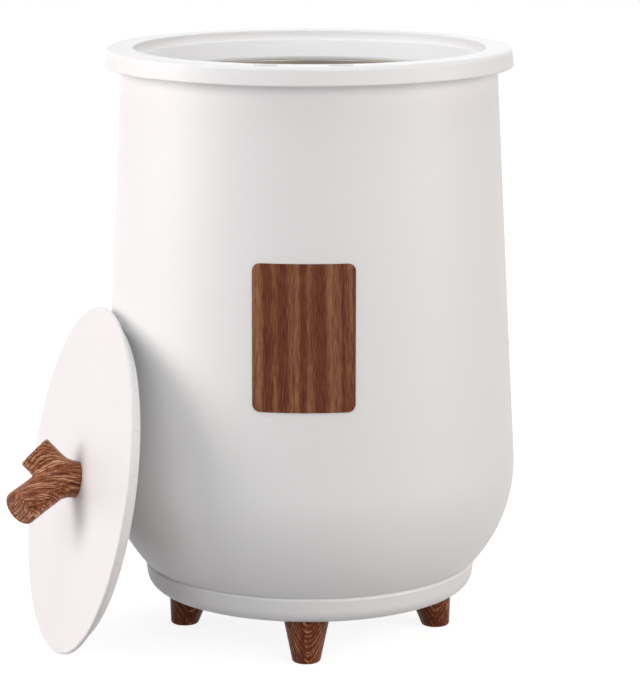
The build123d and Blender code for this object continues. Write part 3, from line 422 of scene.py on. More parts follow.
class Finish(Enum):
    """Every finish on the object."""

    # A warm white housing with a broad soft sheen; up close the tool's faint orange peel breaks it up.
    BARREL = MouldedPlastic("white_abs_moulded_satin", "EDEDEE", "F0F0F0", 0.46)
    # The lid's white is a touch duller and finer than the barrel's, so that the two read as two mouldings.
    LID = MouldedPlastic("white_abs_moulded_fine", "E9E8E8", "ECEBEB", 0.5, 1.6, 0.004)
    # Cool light grey keys that stand out from the white rim by tone more than by shape.
    BUTTON = MouldedPlastic("grey_abs_moulded", "C4C4C7", "CBCBCD", 0.38, 1.2, 0.004)
    # Milky windows that only their sharper sheen sets off from the rim.
    PIPE = MouldedPlastic("milky_acrylic_polished", "DADDE0", "E4E6E8", 0.18, 3.0, 0.001, 1.49)
    # Dead black parts with a dull grain, as relays and nuts are.
    BLACK = MouldedPlastic("black_nylon_moulded", "1C1C1E", "232325", 0.5, 1.0, 0.006)
    # Soft mid-grey rubber with hardly any sheen.
    RUBBER = MouldedPlastic("grey_silicone_rubber", "85858A", "8E8E92", 0.75, 0.8, 0.01, 1.43)
    # The brick-red mat that tells the eye where the heat comes from.
    HEATER = MouldedPlastic("silicone_heating_mat", "B5552F", "A84C2A", 0.7, 1.5, 0.05, 1.43)
    # Creamy lead insulation with a dull sheen.
    JACKET = MouldedPlastic("pvc_lead_jacket", "DAD5C8", "D2CCBD", 0.5, 1.0, 0.01)
    # Wavy red-brown streaks along the branch, light on dark, with a low sheen on the bends.
    BRANCH = Walnut(
        "walnut_branch_lacquered", "50200F", "935334", "DAA983", pith=(-34.0, 6.0), ring_mm=2.3, slope=0.05,
        wave_mm=1.0, wave_length_mm=16.0, line=-0.5, rings_show=0.5, streak_mm=1.8, stretch=14.0,
        streaks_show=0.6, fibres_show=0.4, roughness=0.28,
    )
    # Thin light rings on dark brown that meet in nested arches on the foot's front.
    FOOT = Walnut(
        "walnut_foot_turned", "351109", "7A3B20", "C8946D", pith=(1.6, -7.0), ring_mm=1.8, slope=-0.46,
        wave_mm=0.9, wave_length_mm=9.0, line=-0.1, rings_show=0.46, streak_mm=1.2, stretch=8.0,
        streaks_show=0.38, fibres_show=0.3, roughness=0.4,
    )
    # Straight upright veneer: broad dark and tan bands under fine fibres.
    VENEER = Walnut(
        "walnut_veneer_lacquered", "48170A", "733F29", "98704F", pith=(-263.0, 40.0), ring_mm=14.0, slope=0.004,
        wave_mm=1.0, wave_length_mm=90.0, line=-1.0, rings_show=0.44, streak_mm=0.8, stretch=14.0,
        streaks_show=0.32, fibres_show=0.5, roughness=0.42,
    )
    # A dull grey spun wall whose fine turning lines draw its highlights into bands.
    POT = TurnedMetal("spun_aluminium", "B9B0A6", 0.34, 0.5, 0.02)
    # Cool bright screws and clips.
    STEEL = TurnedMetal("zinc_plated_steel", "B4B4B2", 0.32, 0.4, 0.01)
    # The yellow of the threaded insert in the handle's foot.
    BRASS = TurnedMetal("turned_brass", "C9A55C", 0.3, 0.4, 0.01)
    # Matted fibres with a soft nap and no sheen, with painted shade in the hollows between the tufts.
    FELT = NeedledFelt("white_needled_felt", "E6E3DC", "C9C5BC")
    # Glossy green mask, darker between the tracks.
    BOARD = CircuitLaminate("circuit_board_laminate", "1F5B36", "2B7547")

    @cache
    def material(self) -> bpy.types.Material:
        """The finish's material, made on its first use."""
        return self.value.make()


# ---------------- surfaces


def link_object(name: str, data: bpy.types.ID) -> bpy.types.Object:
    """Add an object to the scene, at the origin.

    Args:
        name: its name.
        data: its mesh, light or camera.

    Returns:
        The new object.
    """
    thing = bpy.data.objects.new(name, data)
    bpy.context.scene.collection.objects.link(thing)
    return thing


@dataclass
class Surface:
    """A mesh as whole arrays."""

    points: Points  # corners, one row each
    quads: Points  # four corner numbers a row
    triangles: Points = field(default_factory=lambda: np.zeros((0, 3), int))  # three corner numbers a row
    grain: Points | None = None  # plank coordinates of each corner, for a wooden piece

    def moved(self, axes: Points, origin: Points | float = 0.0) -> "Surface":
        """Carry the surface to another frame: its points times the rows of axes, plus the origin."""
        return replace(self, points=self.points @ axes + origin)

    def to_piece(self, name: str, finish: Finish, body: str, slot: str, node: str) -> bpy.types.Object:
        """Write the arrays into a smooth-shaded mesh object that stands for a CAD node.

        Args:
            name: the piece's name.
            finish: what it is made of.
            body: the body that it rides on.
            slot: the record's material slot; not used.
            node: the CAD node that it replaces.

        Returns:
            The new object, at the origin, with its place in its mesh.
        """
        mesh = bpy.data.meshes.new(name)
        mesh.from_pydata((self.points * MM).tolist(), [], self.quads.tolist() + self.triangles.tolist())
        mesh.shade_smooth()
        if self.grain is not None:
            attribute = mesh.attributes.new("grain", "FLOAT_VECTOR", "POINT")
            attribute.data.foreach_set("vector", self.grain.astype(np.float32).ravel())
        mesh.materials.append(finish.material())
        mesh.validate()
        piece = link_object(name, mesh)
        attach(piece, body)
        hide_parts(node)
        LOG.info("%s: %d faces on %s for %s", name, len(mesh.polygons), body, node)
        return piece


def box_mm(node: str) -> Points:
    """A CAD node's lowest and highest corner at rest, in millimetres, one row each."""
    return np.array(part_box(node)) / MM


def unit(vectors: Points) -> Points:
    """Scale each row to length 1."""
    return vectors / np.linalg.norm(vectors, axis=-1, keepdims=True)


def about_z(turn: float) -> Points:
    """Axes, one row each, of a frame turned about Z by an angle in radians."""
    return np.array([[math.cos(turn), math.sin(turn), 0], [-math.sin(turn), math.cos(turn), 0], [0, 0, 1]])


def full_turn(steps: int) -> Points:
    """Even angles round a full turn, in radians."""
    return np.linspace(0, 2 * np.pi, steps, endpoint=False)


def smooth_step(value: Points, low: float, high: float) -> Points:
    """Ease from 0 at low to 1 at high: 3t squared less 2t cubed."""
    t = np.clip((value - low) / (high - low), 0, 1)
    return t * t * (3 - 2 * t)


def ring_grid(wide: Points, deep: Points, height: Points, angle: Points) -> Points:
    """Oval rings: a row of wide a, deep b and height z has the point (a cos t, b sin t, z) at angle t."""
    x, y = wide * np.cos(angle), deep * np.sin(angle)
    return np.stack([x, y, np.broadcast_to(height, x.shape)], axis=-1)


def grid_surface(points: Points, loop: bool) -> Surface:
    """Join a grid of rings into a closed surface.

    Quad (i, j) joins rings i and i + 1 between steps j and j + 1, and both ends of each ring meet. With loop
    the last ring meets the first; without it the first and last rings are single points, met by triangles.

    Args:
        points: rings by steps by 3, each ring running anticlockwise seen from outside its end.
        loop: whether the rings close on themselves.

    Returns:
        The surface, with its faces pointing out when the rings' profile runs anticlockwise in (radius, height).
    """
    rings, steps, _ = points.shape
    ids = np.arange(rings * steps).reshape(rings, steps)
    along = np.concatenate([ids, ids[:, :1]], axis=1)
    walls = np.concatenate([along, along[:1]]) if loop else along[1:-1]
    low, high = walls[:-1], walls[1:]
    quads = np.stack([low[:, :-1], low[:, 1:], high[:, 1:], high[:, :-1]], axis=-1).reshape(-1, 4)
    if loop:
        return Surface(points.reshape(-1, 3), quads)
    first = np.stack([np.full(steps, ids[0, 0]), along[1, 1:], along[1, :-1]], axis=-1)
    last = np.stack([np.full(steps, ids[-1, 0]), along[-2, :-1], along[-2, 1:]], axis=-1)
    corners = np.concatenate([quads.ravel(), first.ravel(), last.ravel()])
    used, numbers = np.unique(corners, return_inverse=True)
    flat, count = points.reshape(-1, 3)[used], quads.size
    return Surface(flat, numbers[:count].reshape(-1, 4), numbers[count:].reshape(-1, 3))


def rounded_outline(corners: list[tuple[float, float, float]], bends: int = 6) -> Points:
    """Round the corners of an outline.

    A corner of radius r between unit directions a (back) and b (on) becomes the arc about the corner plus
    (a + b) scaled to r over the sine of half the angle. Straight runs get a point close to each end, so that
    smooth shading turns only on the arcs.

    Args:
        corners: first coordinate, second coordinate and rounding radius of each corner. One with radius 0
            stays sharp, as both ends of an open outline do.
        bends: points on each arc.

    Returns:
        Points of the rounded outline, one row each.
    """
    places = np.array(corners, float)[:, :2]
    rows: list[Points] = []
    for index, (*_, radius) in enumerate(corners):
        here = places[index]
        if radius <= 0:
            rows.append(here[None])
            continue
        runs = np.stack([places[index - 1], places[(index + 1) % len(corners)]]) - here
        back, on = unit(runs)
        half = math.acos(float(np.clip(back @ on, -1, 1))) / 2
        reach = radius / math.tan(half)
        centre = here + unit(back + on) * radius / math.sin(half)
        start, stop = here + back * reach - centre, here + on * reach - centre
        turn = math.atan2(start[0] * stop[1] - start[1] * stop[0], start @ stop)
        angles = np.linspace(0, turn, bends)[:, None]
        arc = centre + start * np.cos(angles) + np.array([-start[1], start[0]]) * np.sin(angles)
        clear = np.minimum(reach + min(0.2, radius), np.linalg.norm(runs, axis=1) / 2)
        rows.append(np.concatenate([(here + back * clear[0])[None], arc, (here + on * clear[1])[None]]))
    return np.concatenate(rows)


def lathe(outline: Points, steps: int = TURN_STEPS) -> Surface:
    """Turn rows of radius and height, anticlockwise and closed by the axis or by themselves, round Z."""
    radius, height = outline[:, :1], outline[:, 1:]
    return grid_surface(ring_grid(radius, radius, height, full_turn(steps)), loop=bool(radius[0, 0] > 0))


# ---------------- barrel, mouth and chamber


@dataclass(frozen=True)
class Barrel:
    """The moulded barrel: a straight taper, a belly and a flange at each end."""

    top_r: float = 152.0  # outer radius under the rim
    taper: float = 3.0  # angle by which the wall widens downwards, in degrees
    belly_z: float = 149.0  # height where the taper runs into the belly's arc
    belly_arc_r: float = 120.0  # radius of that arc
    wall: float = 3.0  # wall thickness
    lean_extra: float = 0.1  # what the leaning wall measures more across than square to itself
    flange_r: float = 161.4  # outer radius of the top flange
    lip_r: float = 146.0  # bore of the top flange
    base_r: float = 110.0  # bore of the base flange
    edge: float = 0.25  # rounding of the lower edge
    edge_run: float = 0.9  # how far the lower edge's own corner points reach in and up
    tight: float = 0.4  # how close to the top flange the wall has a row, so that it alone shades the corner
    droop: float = 0.3  # how far the lower edge closes the gap over the tray
    spigot_r: float = 133.53  # outer radius of the spigot inside the tray
    spigot_depth: float = 7.0  # how far the spigot reaches into the tray

    def radius_at(self, height: Points) -> Points:
        """Outer radius at a height: the taper above the belly's start, and the arc below it.

        Args:
            height: heights.

        Returns:
            The radius at each height.
        """
        lean, top = math.radians(self.taper), box_mm("top_rim")[0, 2]
        straight = self.top_r + (top - height) * math.tan(lean)
        start_r = self.top_r + (top - self.belly_z) * math.tan(lean)
        centre_r = start_r - self.belly_arc_r * math.cos(lean)
        centre_z = self.belly_z - self.belly_arc_r * math.sin(lean)
        reach = np.clip(self.belly_arc_r**2 - (height - centre_z) ** 2, 0, None)
        return np.where(height > self.belly_z, straight, centre_r + np.sqrt(reach))

    def outline(self, row: float = 4.0) -> Points:
        """Half section of the moulding, anticlockwise from the base flange's bore.

        Args:
            row: space between the last row of the belly's arc and the first of the taper.

        Returns:
            Rows of radius and height.
        """
        end, top, wall = box_mm("outer_shell")[0, 2], box_mm("top_rim")[0, 2], self.wall
        low = end + self.spigot_depth
        foot_r = float(self.radius_at(np.array(low))) - self.edge_run
        belly = np.linspace(low + self.edge_run, self.belly_z, 40)
        heights = np.concatenate([belly, np.linspace(self.belly_z + row, top - self.tight, 24)])
        outside = np.stack([self.radius_at(heights), heights], axis=-1)
        spigot_in, seam = self.spigot_r - wall, low - self.droop
        before = [
            (self.base_r, low + wall, 0.0), (self.base_r, low, 0.6), (spigot_in, low, 0.4),
            (spigot_in, end, 0.6), (self.spigot_r, end, 0.6), (self.spigot_r, seam, 0.4),
            (foot_r, seam, self.edge), (*outside[0], 0.0),
        ]
        flange = [
            (*outside[-1], 0.0), (self.top_r, top, 0.3), (self.flange_r, top, 0.5),
            (self.flange_r, top + wall, 0.5), (self.lip_r, top + wall, 0.5), (self.lip_r, top, 0.5),
            (self.top_r - wall, top, 0.3), (self.top_r - wall, top - wall, 0.0),
        ]
        taper = np.linspace(top - wall, self.belly_z, 16)
        heights = np.concatenate([taper, np.linspace(self.belly_z - row, low + 2 * wall, 24)])
        inside = np.stack([self.radius_at(heights) - wall - self.lean_extra, heights], axis=-1)
        corner = np.array([[inside[-1, 0] - wall, low + wall]])
        before, flange = rounded_outline(before, bends=4), rounded_outline(flange, bends=4)
        return np.concatenate([before[:-1], outside, flange[1:-1], inside, corner])

    def build(self) -> None:
        """Turn the barrel."""
        lathe(self.outline()).to_piece("barrel_shell", Finish.BARREL, "bucket", "white_moulding", "outer_shell")


@dataclass(frozen=True)
class Mouth:
    """The ring in the mouth and the spun chamber below it."""

    wall_r: float = 146.0  # radius of the ring's standing wall
    ledge_r: float = 136.0  # bore of the ledge that the lid rests on
    lip_r: float = 128.5  # bore of the lip
    funnel_depth: float = 13.0  # height of the sloping wall
    wall: float = 2.5  # wall thickness of the ring
    foot_h: float = 2.0  # thickness of the ring's foot, which stands on the barrel's top flange
    foot_rise: float = 12.0  # height of that foot over the lip's edge
    shift: tuple[float, float] = (0.5, 0.4)  # how far the funnel's underside lies in and down from its top
    pot_wall: float = 1.0  # wall thickness of the chamber
    pot_corner: float = 12.0  # outer corner radius of the chamber's bottom
    pot_flange: float = 5.0  # width of the chamber's flange

    def build(self) -> None:
        """Turn the ring and the chamber."""
        (_, _, low), (foot_r, _, high) = box_mm("inner_collar")
        slope_z, foot_z, under = high - self.funnel_depth, low + self.foot_rise, high - self.wall
        lip_out, wall_in = self.lip_r + self.wall, self.wall_r - self.wall
        ring = [
            (self.lip_r, low, 1.2), (lip_out, low, 0.6), (lip_out, slope_z - self.shift[1], 1.0),
            (self.ledge_r + self.wall - self.shift[0], under, 0.8), (wall_in, under, 0.6),
            (wall_in, foot_z, 0.4), (foot_r, foot_z, 0.4), (foot_r, foot_z + self.foot_h, 0.4),
            (self.wall_r, foot_z + self.foot_h, 0.4), (self.wall_r, high, 0.3),
            (self.ledge_r, high, 0.8), (self.lip_r, slope_z, 2.0),
        ]
        made = lathe(rounded_outline(ring))
        made.to_piece("mouth_ring", Finish.BARREL, "bucket", "white_moulding", "inner_collar")
        self.build_pot()

    def build_pot(self) -> None:
        """Turn the chamber: a floor, a round corner, a straight wall and a flange."""
        (_, _, low), (flange_r, _, high) = box_mm("inner_pot")
        outer, wall = flange_r - self.pot_flange, self.pot_wall
        pot = [
            (0.0, low, 0.0), (outer, low, self.pot_corner), (outer, high - wall, 0.5),
            (flange_r, high - wall, 0.3), (flange_r, high, 0.3), (outer - wall, high, 0.5),
            (outer - wall, low + wall, self.pot_corner - wall), (0.0, low + wall, 0.0),
        ]
        made = lathe(rounded_outline(pot, bends=10))
        made.to_piece("chamber_pot", Finish.POT, "bucket", "pot_aluminium", "inner_pot")


# ---------------- feet and plaque


@dataclass(frozen=True)
class Foot:
    """A turned foot: a splayed cone cut flat by the floor and by the tray."""

    node: str  # the CAD node that it stands for
    bearing: float  # where it stands, in degrees from the front towards +X
    plank: tuple[float, float, float]  # offset of its grain in the plank, so that no two feet match
    circle_r: float = 105.58  # distance of its tip from the barrel's axis
    tip_r: float = 11.2  # radius of its tip
    half_angle: float = 12.0  # half angle of the cone, in degrees
    splay: float = 10.0  # lean of its axis, in degrees
    edge: float = 2.5  # rounding of the lower edge
    sole_ring: float = 0.9  # share of the way out where the sole has a ring
    rows: tuple[float, ...] = (0.02, 0.2, 0.4, 0.6, 0.8, 0.98, 1.0)  # where its wall has rings, as shares

    def surface(self, steps: int = 96) -> Surface:
        """Cut each straight line of the cone by the floor and the tray, and round its lower end.

        A line at angle t round the axis a is c + s a + (tip + s tan h)(u cos t + v sin t). Its height is linear
        in s, which gives s at the floor and at the tray. The rounding is an arc between line and floor.

        Args:
            steps: lines round the cone.

        Returns:
            The foot at its place, with its grain.
        """
        lean, spread = math.radians(self.splay), math.tan(math.radians(self.half_angle))
        axis = np.array([0.0, math.sin(lean), math.cos(lean)])
        side, back = np.array([1.0, 0.0, 0.0]), np.array([0.0, math.cos(lean), -math.sin(lean)])
        centre = np.array([0.0, -self.circle_r, 0.0])
        angle = full_turn(steps)[:, None]
        outward = side * np.cos(angle) + back * np.sin(angle)
        direction = axis + spread * outward

        def at_height(level: float) -> Points:
            """Points of all the lines at one height."""
            reach = (level - self.tip_r * outward[:, 2:]) / direction[:, 2:]
            return centre + self.tip_r * outward + reach * direction

        floor, top = at_height(0.0), at_height(box_mm(self.node)[1, 2])
        middle, crown = floor.mean(axis=0), top.mean(axis=0)
        up, inward = unit(direction), unit(middle - floor)
        half = np.arccos(np.sum(up * inward, axis=1, keepdims=True)) / 2
        reach = self.edge / np.tan(half)
        hub = floor + unit(up + inward) * self.edge / np.sin(half)
        start, stop = floor + inward * reach, floor + up * reach
        rows = [np.broadcast_to(middle, floor.shape), middle + (start - middle) * self.sole_ring]
        for share in np.linspace(0, 1, 7):
            rows.append(hub + unit((start - hub) * (1 - share) + (stop - hub) * share) * self.edge)
        rows += [stop + (top - stop) * share for share in self.rows]
        rows += [crown + (top - crown) * self.rows[-2], np.broadcast_to(crown, floor.shape)]
        spin = about_z(math.radians(self.bearing))
        made = grid_surface(np.stack(rows), loop=False).moved(spin)
        made.grain = made.points - centre @ spin + np.array(self.plank)
        return made

    def build(self) -> None:
        """Make the foot."""
        self.surface().to_piece(self.node + "_walnut", Finish.FOOT, "bucket", "foot_walnut", self.node)


@dataclass(frozen=True)
class Plaque:
    """The bare walnut plaque on the barrel's front: a rounded rectangle that follows the barrel."""

    corner_r: float = 6.0  # corner radius of its outline
    gap: float = 0.25  # space between the barrel and its back
    thickness: float = 1.0
    bevel: float = 0.4  # rounding of its front edge
    step: float = 1.0  # spacing of the points round its outline
    tight: float = 0.05  # height of a row that keeps the back's edge sharp
    back_rings: int = 12  # rings across its back
    face_rings: int = 22  # rings across its face

    def outline(self, half: Points) -> Points:
        """Walk the rounded rectangle and put a point after each equal stretch of it.

        Args:
            half: half its width and half its height.

        Returns:
            Rows of width and height.
        """
        signs = ((1, -1), (1, 1), (-1, 1), (-1, -1))
        corners = [(half[0] * across, half[1] * up, self.corner_r) for across, up in signs]
        outline = rounded_outline(corners, bends=14)
        closed = np.concatenate([outline, outline[:1]])
        walked = np.concatenate([[0.0], np.cumsum(np.linalg.norm(np.diff(closed, axis=0), axis=1))])
        marks = np.linspace(0, walked[-1], round(walked[-1] / self.step), endpoint=False)
        return np.stack([np.interp(marks, walked, column) for column in closed.T], axis=-1)

    def build(self, barrel: Barrel) -> None:
        """Wrap the plaque round the barrel's front.

        The outline shrinks towards its centre in rings. A point (x, z) at height h over the barrel goes to
        y = -sqrt((R(z) + h) squared - x squared).

        Args:
            barrel: gives the radius R(z).
        """
        low, high = box_mm("front_badge")[:, ::2]
        half, middle_z = (high - low) / 2, (high[1] + low[1]) / 2
        outline, top = self.outline(half), self.gap + self.thickness
        bend = np.linspace(0, np.pi / 2, 5)
        insets = np.concatenate([[0.0, 0.0], self.bevel * (1 - np.cos(bend))])
        rise = top - self.bevel + self.bevel * np.sin(bend)
        heights = np.concatenate([[self.gap, self.gap + self.tight], rise])
        edge = outline[None] * (1 - insets[:, None, None] / half)
        face = edge[-1][None] * np.linspace(0.99, 0.0, self.face_rings)[:, None, None]
        back = outline[None] * np.linspace(0.0, 0.99, self.back_rings)[:, None, None]
        flat = np.concatenate([back, edge, face])
        lift = [np.full(self.back_rings, self.gap), heights, np.full(self.face_rings, top)]
        x, z = flat[..., 0], flat[..., 1] + middle_z
        y = -np.sqrt((barrel.radius_at(z) + np.concatenate(lift)[:, None]) ** 2 - x**2)
        made = grid_surface(np.stack([x, y, z], axis=-1), loop=False)
        made.grain = made.points * np.array([1.0, 0.0, 1.0])
        made.to_piece("front_plaque", Finish.VENEER, "bucket", "badge_veneer", "front_badge")


# ---------------- buttons


@dataclass(frozen=True)
class PushButton:
    """An oval push button: a cap with a rounded edge and a shallow dish, on a wider lip."""

    node: str  # the CAD node and the body that it rides on
    length: float = 19.0  # long axis of the cap
    width: float = 12.0  # short axis of the cap
    lip: float = 0.8  # how far the lip stands out
    lip_t: float = 1.2  # thickness of the lip
    edge: float = 0.7  # rounding of the cap's edge
    dish: float = 0.35  # depth of the dish

    def build(self) -> None:
        """Make the cap from ovals that shrink and rise.

        Ring k is the oval ((a - inset k) cos t, (b - inset k) sin t) at height k, and near the centre the
        ovals shrink by one factor q, with the dish falling as 1 - q squared.
        """
        low, high = box_mm(self.node)
        half = np.array([self.length, self.width]) / 2
        wide, inner, rim, lip_z = half + self.lip, half - self.edge, high[2] - self.edge, low[2] + self.lip_t
        rows = [(half * 0.0, low[2]), (wide, low[2]), (wide, lip_z), (half, lip_z), (half, rim)]
        for bend in np.linspace(0, np.pi / 2, 6):
            rows.append((half - self.edge * (1 - math.cos(bend)), rim + self.edge * math.sin(bend)))
        for share in np.linspace(0.96, 0.0, 12):
            rows.append((inner * share, high[2] - self.dish * (1 - share**2)))
        sizes, heights = (np.array(column) for column in zip(*rows))
        grid = ring_grid(sizes[:, :1], sizes[:, 1:], heights[:, None], full_turn(96))
        middle = (low + high) / 2 * np.array([1.0, 1.0, 0.0])
        made = grid_surface(grid, loop=False).moved(about_z(math.atan2(middle[0], -middle[1])), middle)
        made.to_piece(self.node + "_cap", Finish.BUTTON, self.node, "button_grey", self.node)


@dataclass(frozen=True)
class RubberDome:
    """The thin rubber dome under a button, which buckles as the button goes down and pushes it back."""

    node: str  # the CAD node that it stands for
    joint: str  # the joint that presses its button
    travel: float = 1.0  # how far the button goes down
    foot_r: float = 4.6  # radius of its foot
    crown_r: float = 2.6  # radius of its crown
    wall: float = 0.8  # thickness of its skirt and its crown
    clearance: float = 0.03  # space left under the button's lip

    def build(self) -> None:
        """Turn the dome's section round its axis, and give the piece a mesh of its own."""
        low, high = box_mm(self.node)
        foot, crown, wall = low[2], high[2] - self.clearance, self.wall
        section = [
            (0.0, crown - wall, 0.0), (self.crown_r - wall, crown - wall, 0.2), (self.foot_r - wall, foot, 0.1),
            (self.foot_r, foot, 0.1), (self.crown_r, crown, 0.4), (0.0, crown, 0.0),
        ]
        middle = (low + high) / 2 * np.array([1.0, 1.0, 0.0])
        made = lathe(rounded_outline(section), steps=48).moved(np.eye(3), middle)
        piece = made.to_piece(self.node + "_rubber", Finish.RUBBER, "bucket", "grey_rubber", self.node)
        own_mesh(piece)


# ---------------- lid


def lid_pose() -> Frame:
    """Work out the lid's frame: its Z axis is the lid joint's, and its X axis is level.

    Returns:
        Its axes and its origin, which is the middle of the lid's top face.
    """
    sleeve_middle = 10.0
    axis = unit(np.array(next(joint["axis"] for joint in frame["joints"] if joint["child"] == "lid"), float))
    level = unit(np.cross([0.0, 0.0, 1.0], axis))
    origin = box_mm("handle_insert").mean(axis=0) - sleeve_middle * axis
    return np.stack([level, np.cross(axis, level), axis]), origin


@dataclass(frozen=True)
class Lid:
    """The lid: a plate with a rounded edge over a tapered band with small ribs."""

    radius: float = 141.0  # radius of the plate
    plate_t: float = 3.2  # thickness of the plate
    top_edge: float = 1.5  # rounding of the plate's upper edge
    low_edge: float = 0.5  # rounding of the plate's lower edge
    band_top_r: float = 135.4  # radius of the band under the plate
    band_low_r: float = 130.3  # radius of the band at the underside
    band_depth: float = 8.0  # height of the band
    band_edge: float = 0.8  # rounding of the band's lower edge
    ribs: int = 24  # how many ribs stand on the band
    rib_width: float = 1.4  # width of a rib, round the band
    rib_length: float = 3.2  # length of a rib, along the band's height
    rib_proud: float = 0.6  # how far a rib stands out
    flank: float = 0.15  # half the width of the slope at a rib's side
    wall: float = 2.0  # wall thickness of the band, its floor and its well
    well_r: float = 13.1  # outer radius of the well for the handle's screw
    bore_r: float = 11.1  # bore of that well

    def build(self, pose: Frame) -> None:
        """Make the plate and the band.

        Args:
            pose: the lid's axes and origin.
        """
        under, edge_r = -self.plate_t, self.radius
        section = [
            (0.0, under, 0.0), (edge_r, under, self.low_edge), (edge_r, 0.0, self.top_edge), (0.0, 0.0, 0.0),
        ]
        plate = lathe(rounded_outline(section))
        for made, name, node in ((plate, "lid_plate", "lid_top"), (self.band(), "lid_band", "lid_base")):
            made.moved(*pose).to_piece(name, Finish.LID, "lid", "lid_moulding", node)

    def band(self, between: int = 12) -> Surface:
        """Turn the band's hollow section and lift its slanted wall where a rib stands.

        The lift is rib_proud times a plateau across the rib's width times a plateau along its length.

        Args:
            between: points round the band between two ribs.

        Returns:
            The band in the lid's frame.
        """
        top, low, wall = -self.plate_t, -self.plate_t - self.band_depth, self.wall
        outside = rounded_outline([
            (self.bore_r, top, 0.0), (self.bore_r, low, 0.8),
            (self.band_low_r, low, self.band_edge), (self.band_top_r, top, 0.0),
        ])
        middle, half, flank = (low + top) / 2, self.rib_length / 2, self.flank
        rise = np.array([-flank, 0.0, flank])
        levels = [middle - half - 4 * flank], middle - half + rise, [middle], middle + half + rise
        wall_z = np.concatenate([*levels, np.linspace(middle + half + 4 * flank, top, 4)])
        share = (wall_z - low) / self.band_depth
        slant = np.stack([self.band_low_r + (self.band_top_r - self.band_low_r) * share, wall_z], axis=-1)
        inside = rounded_outline([
            (self.band_top_r - wall, top, 0.0), (self.band_low_r - wall, low + wall, 1.0),
            (self.well_r, low + wall, 0.6), (self.well_r, top, 0.0),
        ])
        outline = np.concatenate([outside[:-1], slant, inside])
        pitch = 2 * np.pi / self.ribs
        # Millimetres from a rib's middle, closest together where its flanks rise.
        near = np.array([-1.0, -0.85, -0.7, -0.55, -0.3, 0.0, 0.3, 0.55, 0.7, 0.85, 1.0]) / self.band_low_r
        turn = np.concatenate([near, np.linspace(near[-1], pitch + near[0], between + 2)[1:-1]])
        angle = (np.arange(self.ribs)[:, None] * pitch + turn).ravel()
        aside = np.abs((angle / pitch + 0.5) % 1 - 0.5) * pitch * self.band_low_r
        across = 1 - smooth_step(aside, self.rib_width / 2 - flank, self.rib_width / 2 + flank)
        height = outline[:, 1:]
        along = 1 - smooth_step(np.abs(height - middle), half - flank, half + flank)
        on_wall = outline[:, :1] > self.band_low_r - wall / 2
        radius = outline[:, :1] + self.rib_proud * across[None] * along * on_wall
        return grid_surface(ring_grid(radius, radius, height, angle), loop=True)


